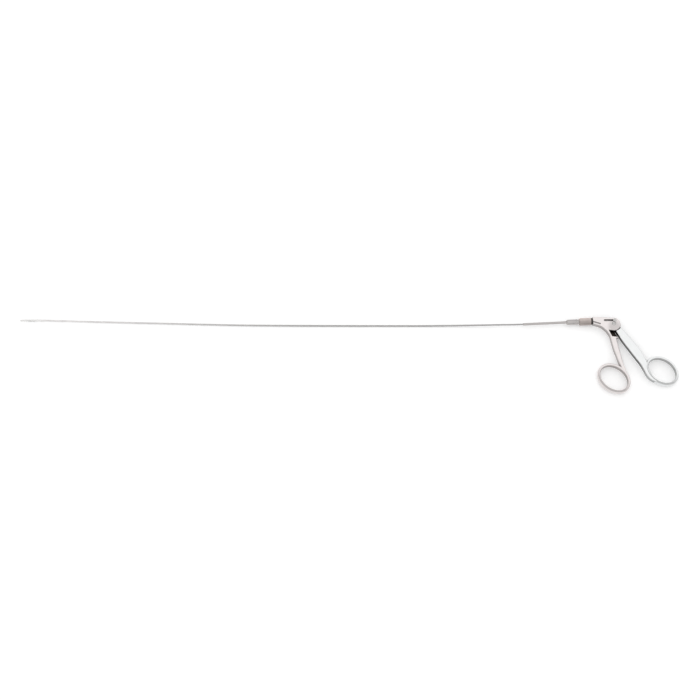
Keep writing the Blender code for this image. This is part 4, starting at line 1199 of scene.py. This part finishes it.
class FORCEPS_OT_tip_body(bpy.types.Operator):
    """Distal sleeve, slotted clevis with its domed ears, and the jaws' pin"""
    bl_idname = "forceps.tip_body"
    bl_label = "Sleeve and Clevis"

    def execute(self, context):
        finish = finish_of("Tip Steel")
        far, near = CLEVIS_REACH + SEAT, CLEVIS_REACH + SEAT + SLEEVE_LENGTH
        sleeve = [(near, SLEEVE_BORE), (near, SLEEVE_RADIUS), (far, SLEEVE_RADIUS),
                  (far, SLEEVE_BORE)]
        bm = turned(rounded(sleeve, SLEEVE_ROUND, 5), 56, matrix=AT_TIP)
        finish_piece("distal_sleeve_turned", bm, "frame", finish,
                     ["distal_sleeve"], 40)
        dome = [(-CLEVIS_RADIUS * cos(a), CLEVIS_RADIUS * sin(a))
                for a in (radians(9 * i) for i in range(10))]
        stem = CLEVIS_REACH + CLEVIS_STEM
        profile = dome + [(CLEVIS_EARS, CLEVIS_RADIUS), (CLEVIS_REACH, CLEVIS_RADIUS),
                          (CLEVIS_REACH, CLEVIS_STEM_RADIUS), (stem, CLEVIS_STEM_RADIUS), (stem, 0)]
        back, side = WIRE_END + END_BLOCK_HALF + 5 * PLAY, CLEVIS_RADIUS + CUT
        slot = plate([(-side, -side), (back, -side), (back, side), (-side, side)],
                     -CLEVIS_SLOT / 2, CLEVIS_SLOT / 2)
        wire_bore = cylinder(back - CUT, stem + CUT, WIRE_BORE, 24)
        pin_hole = cylinder(-side, side, RIVET_RADIUS + PLAY, 32, True)
        # The slot and the bores take painted shade
        bm = joined(shape("blank", turned(profile, 56), AT_TIP),
                    [cut("slot", slot, CUT_IN, AT_TIP), cut("wire_bore", wire_bore, CUT_IN, AT_TIP),
                     cut("pin_hole", pin_hole, CUT_IN, AT_TIP)])
        finish_piece("clevis_slotted", bm, "frame", finish, ["clevis"], 30)
        pin = [(-JAW_PIN_HALF, 0), (-JAW_PIN_HALF, RIVET_RADIUS), (JAW_PIN_HALF, RIVET_RADIUS),
               (JAW_PIN_HALF, 0)]
        bm = turned(rounded(pin, RIVET_ROUND, 4), 32, True, AT_TIP)
        finish_piece("jaw_pin_domed", bm, "frame", finish_of("Screw Steel"),
                     ["jaw_pivot_pin"], 40)
        return {"FINISHED"}


class FORCEPS_OT_jaws(bpy.types.Operator):
    """The two toothed jaws with their tails, and the rivets in the tails"""
    bl_idname = "forceps.jaws"
    bl_label = "Jaws"

    def execute(self, context):
        top = TAIL_GAP + TAIL_THICK + TAIL_GAP + LINK_THICK + PLAY / 2
        head = top + RIVET_HEAD_THICK
        for hand, side in (("left", 1), ("right", -1)):
            finish_piece(f"jaw_{hand}_toothed", toothed_jaw(side), f"{hand}_jaw",
                         finish_of("Tip Steel"), [f"jaw_{hand}"], 30)
            rivet = [(TAIL_GAP, 0), (TAIL_GAP, RIVET_RADIUS), (top, RIVET_RADIUS),
                     (top, RIVET_HEAD), (head, RIVET_HEAD - PLAY), (head, 0)]
            there = AT_TIP @ Matrix.Translation((*tail_end(side), 0))
            bm = turned([(side * h, r) for h, r in rivet], 32, True, there)
            finish_piece(f"rivet_{hand}_domed", bm, f"{hand}_jaw", finish_of("Screw Steel"),
                         [f"link_rivet_{hand}"], 40)
        return {"FINISHED"}


class FORCEPS_OT_inner_pieces(bpy.types.Operator):
    """Finishes of the inner pieces that are kept from the model"""
    bl_idname = "forceps.inner_pieces"
    bl_label = "Inner Pieces"

    def execute(self, context):
        kept = {
            "Tube Steel": ("pull_rod", "pull_wire"),
            "Tip Steel": ("link_left", "link_right", "wire_end_block", "wire_end_pin"),
        }
        for finish, names in kept.items():
            for name in names:
                for held in frame["nodes"][name].material_slots:
                    held.material = finish_of(finish)
        return {"FINISHED"}


OPERATORS = (FORCEPS_OT_stage, FORCEPS_OT_tip_body, FORCEPS_OT_jaws, FORCEPS_OT_coil_shaft,
             FORCEPS_OT_front_handle, FORCEPS_OT_rear_handle, FORCEPS_OT_neck, FORCEPS_OT_screws,
             FORCEPS_OT_inner_pieces)


class VIEW3D_PT_forceps(bpy.types.Panel):
    """Sizes, finishes and the build steps of the forceps"""
    bl_label = "Grasping Forceps"
    bl_space_type = "VIEW_3D"
    bl_region_type = "UI"
    bl_category = "Forceps"

    def draw(self, context):
        layout = self.layout
        for group in (context.scene.forceps_sizes, context.scene.forceps_finish):
            box = layout.box()
            for name in group.__annotations__:
                box.prop(group, name)
        for step in OPERATORS:
            layout.operator(step.bl_idname)


CLASSES = (ForcepsSizes, ForcepsFinish, *OPERATORS, VIEW3D_PT_forceps)


def register():
    for cls in CLASSES:
        bpy.utils.register_class(cls)
    bpy.types.Scene.forceps_sizes = bpy.props.PointerProperty(type=ForcepsSizes)
    bpy.types.Scene.forceps_finish = bpy.props.PointerProperty(type=ForcepsFinish)


def unregister():
    del bpy.types.Scene.forceps_finish
    del bpy.types.Scene.forceps_sizes
    for cls in reversed(CLASSES):
        bpy.utils.unregister_class(cls)


def main():
    register()
    bpy.ops.forceps.stage()
    bpy.ops.forceps.tip_body()
    bpy.ops.forceps.jaws()
    bpy.ops.forceps.coil_shaft()
    bpy.ops.forceps.front_handle()
    bpy.ops.forceps.rear_handle()
    bpy.ops.forceps.neck()
    bpy.ops.forceps.screws()
    bpy.ops.forceps.inner_pieces()


if __name__ == "__main__":
    main()
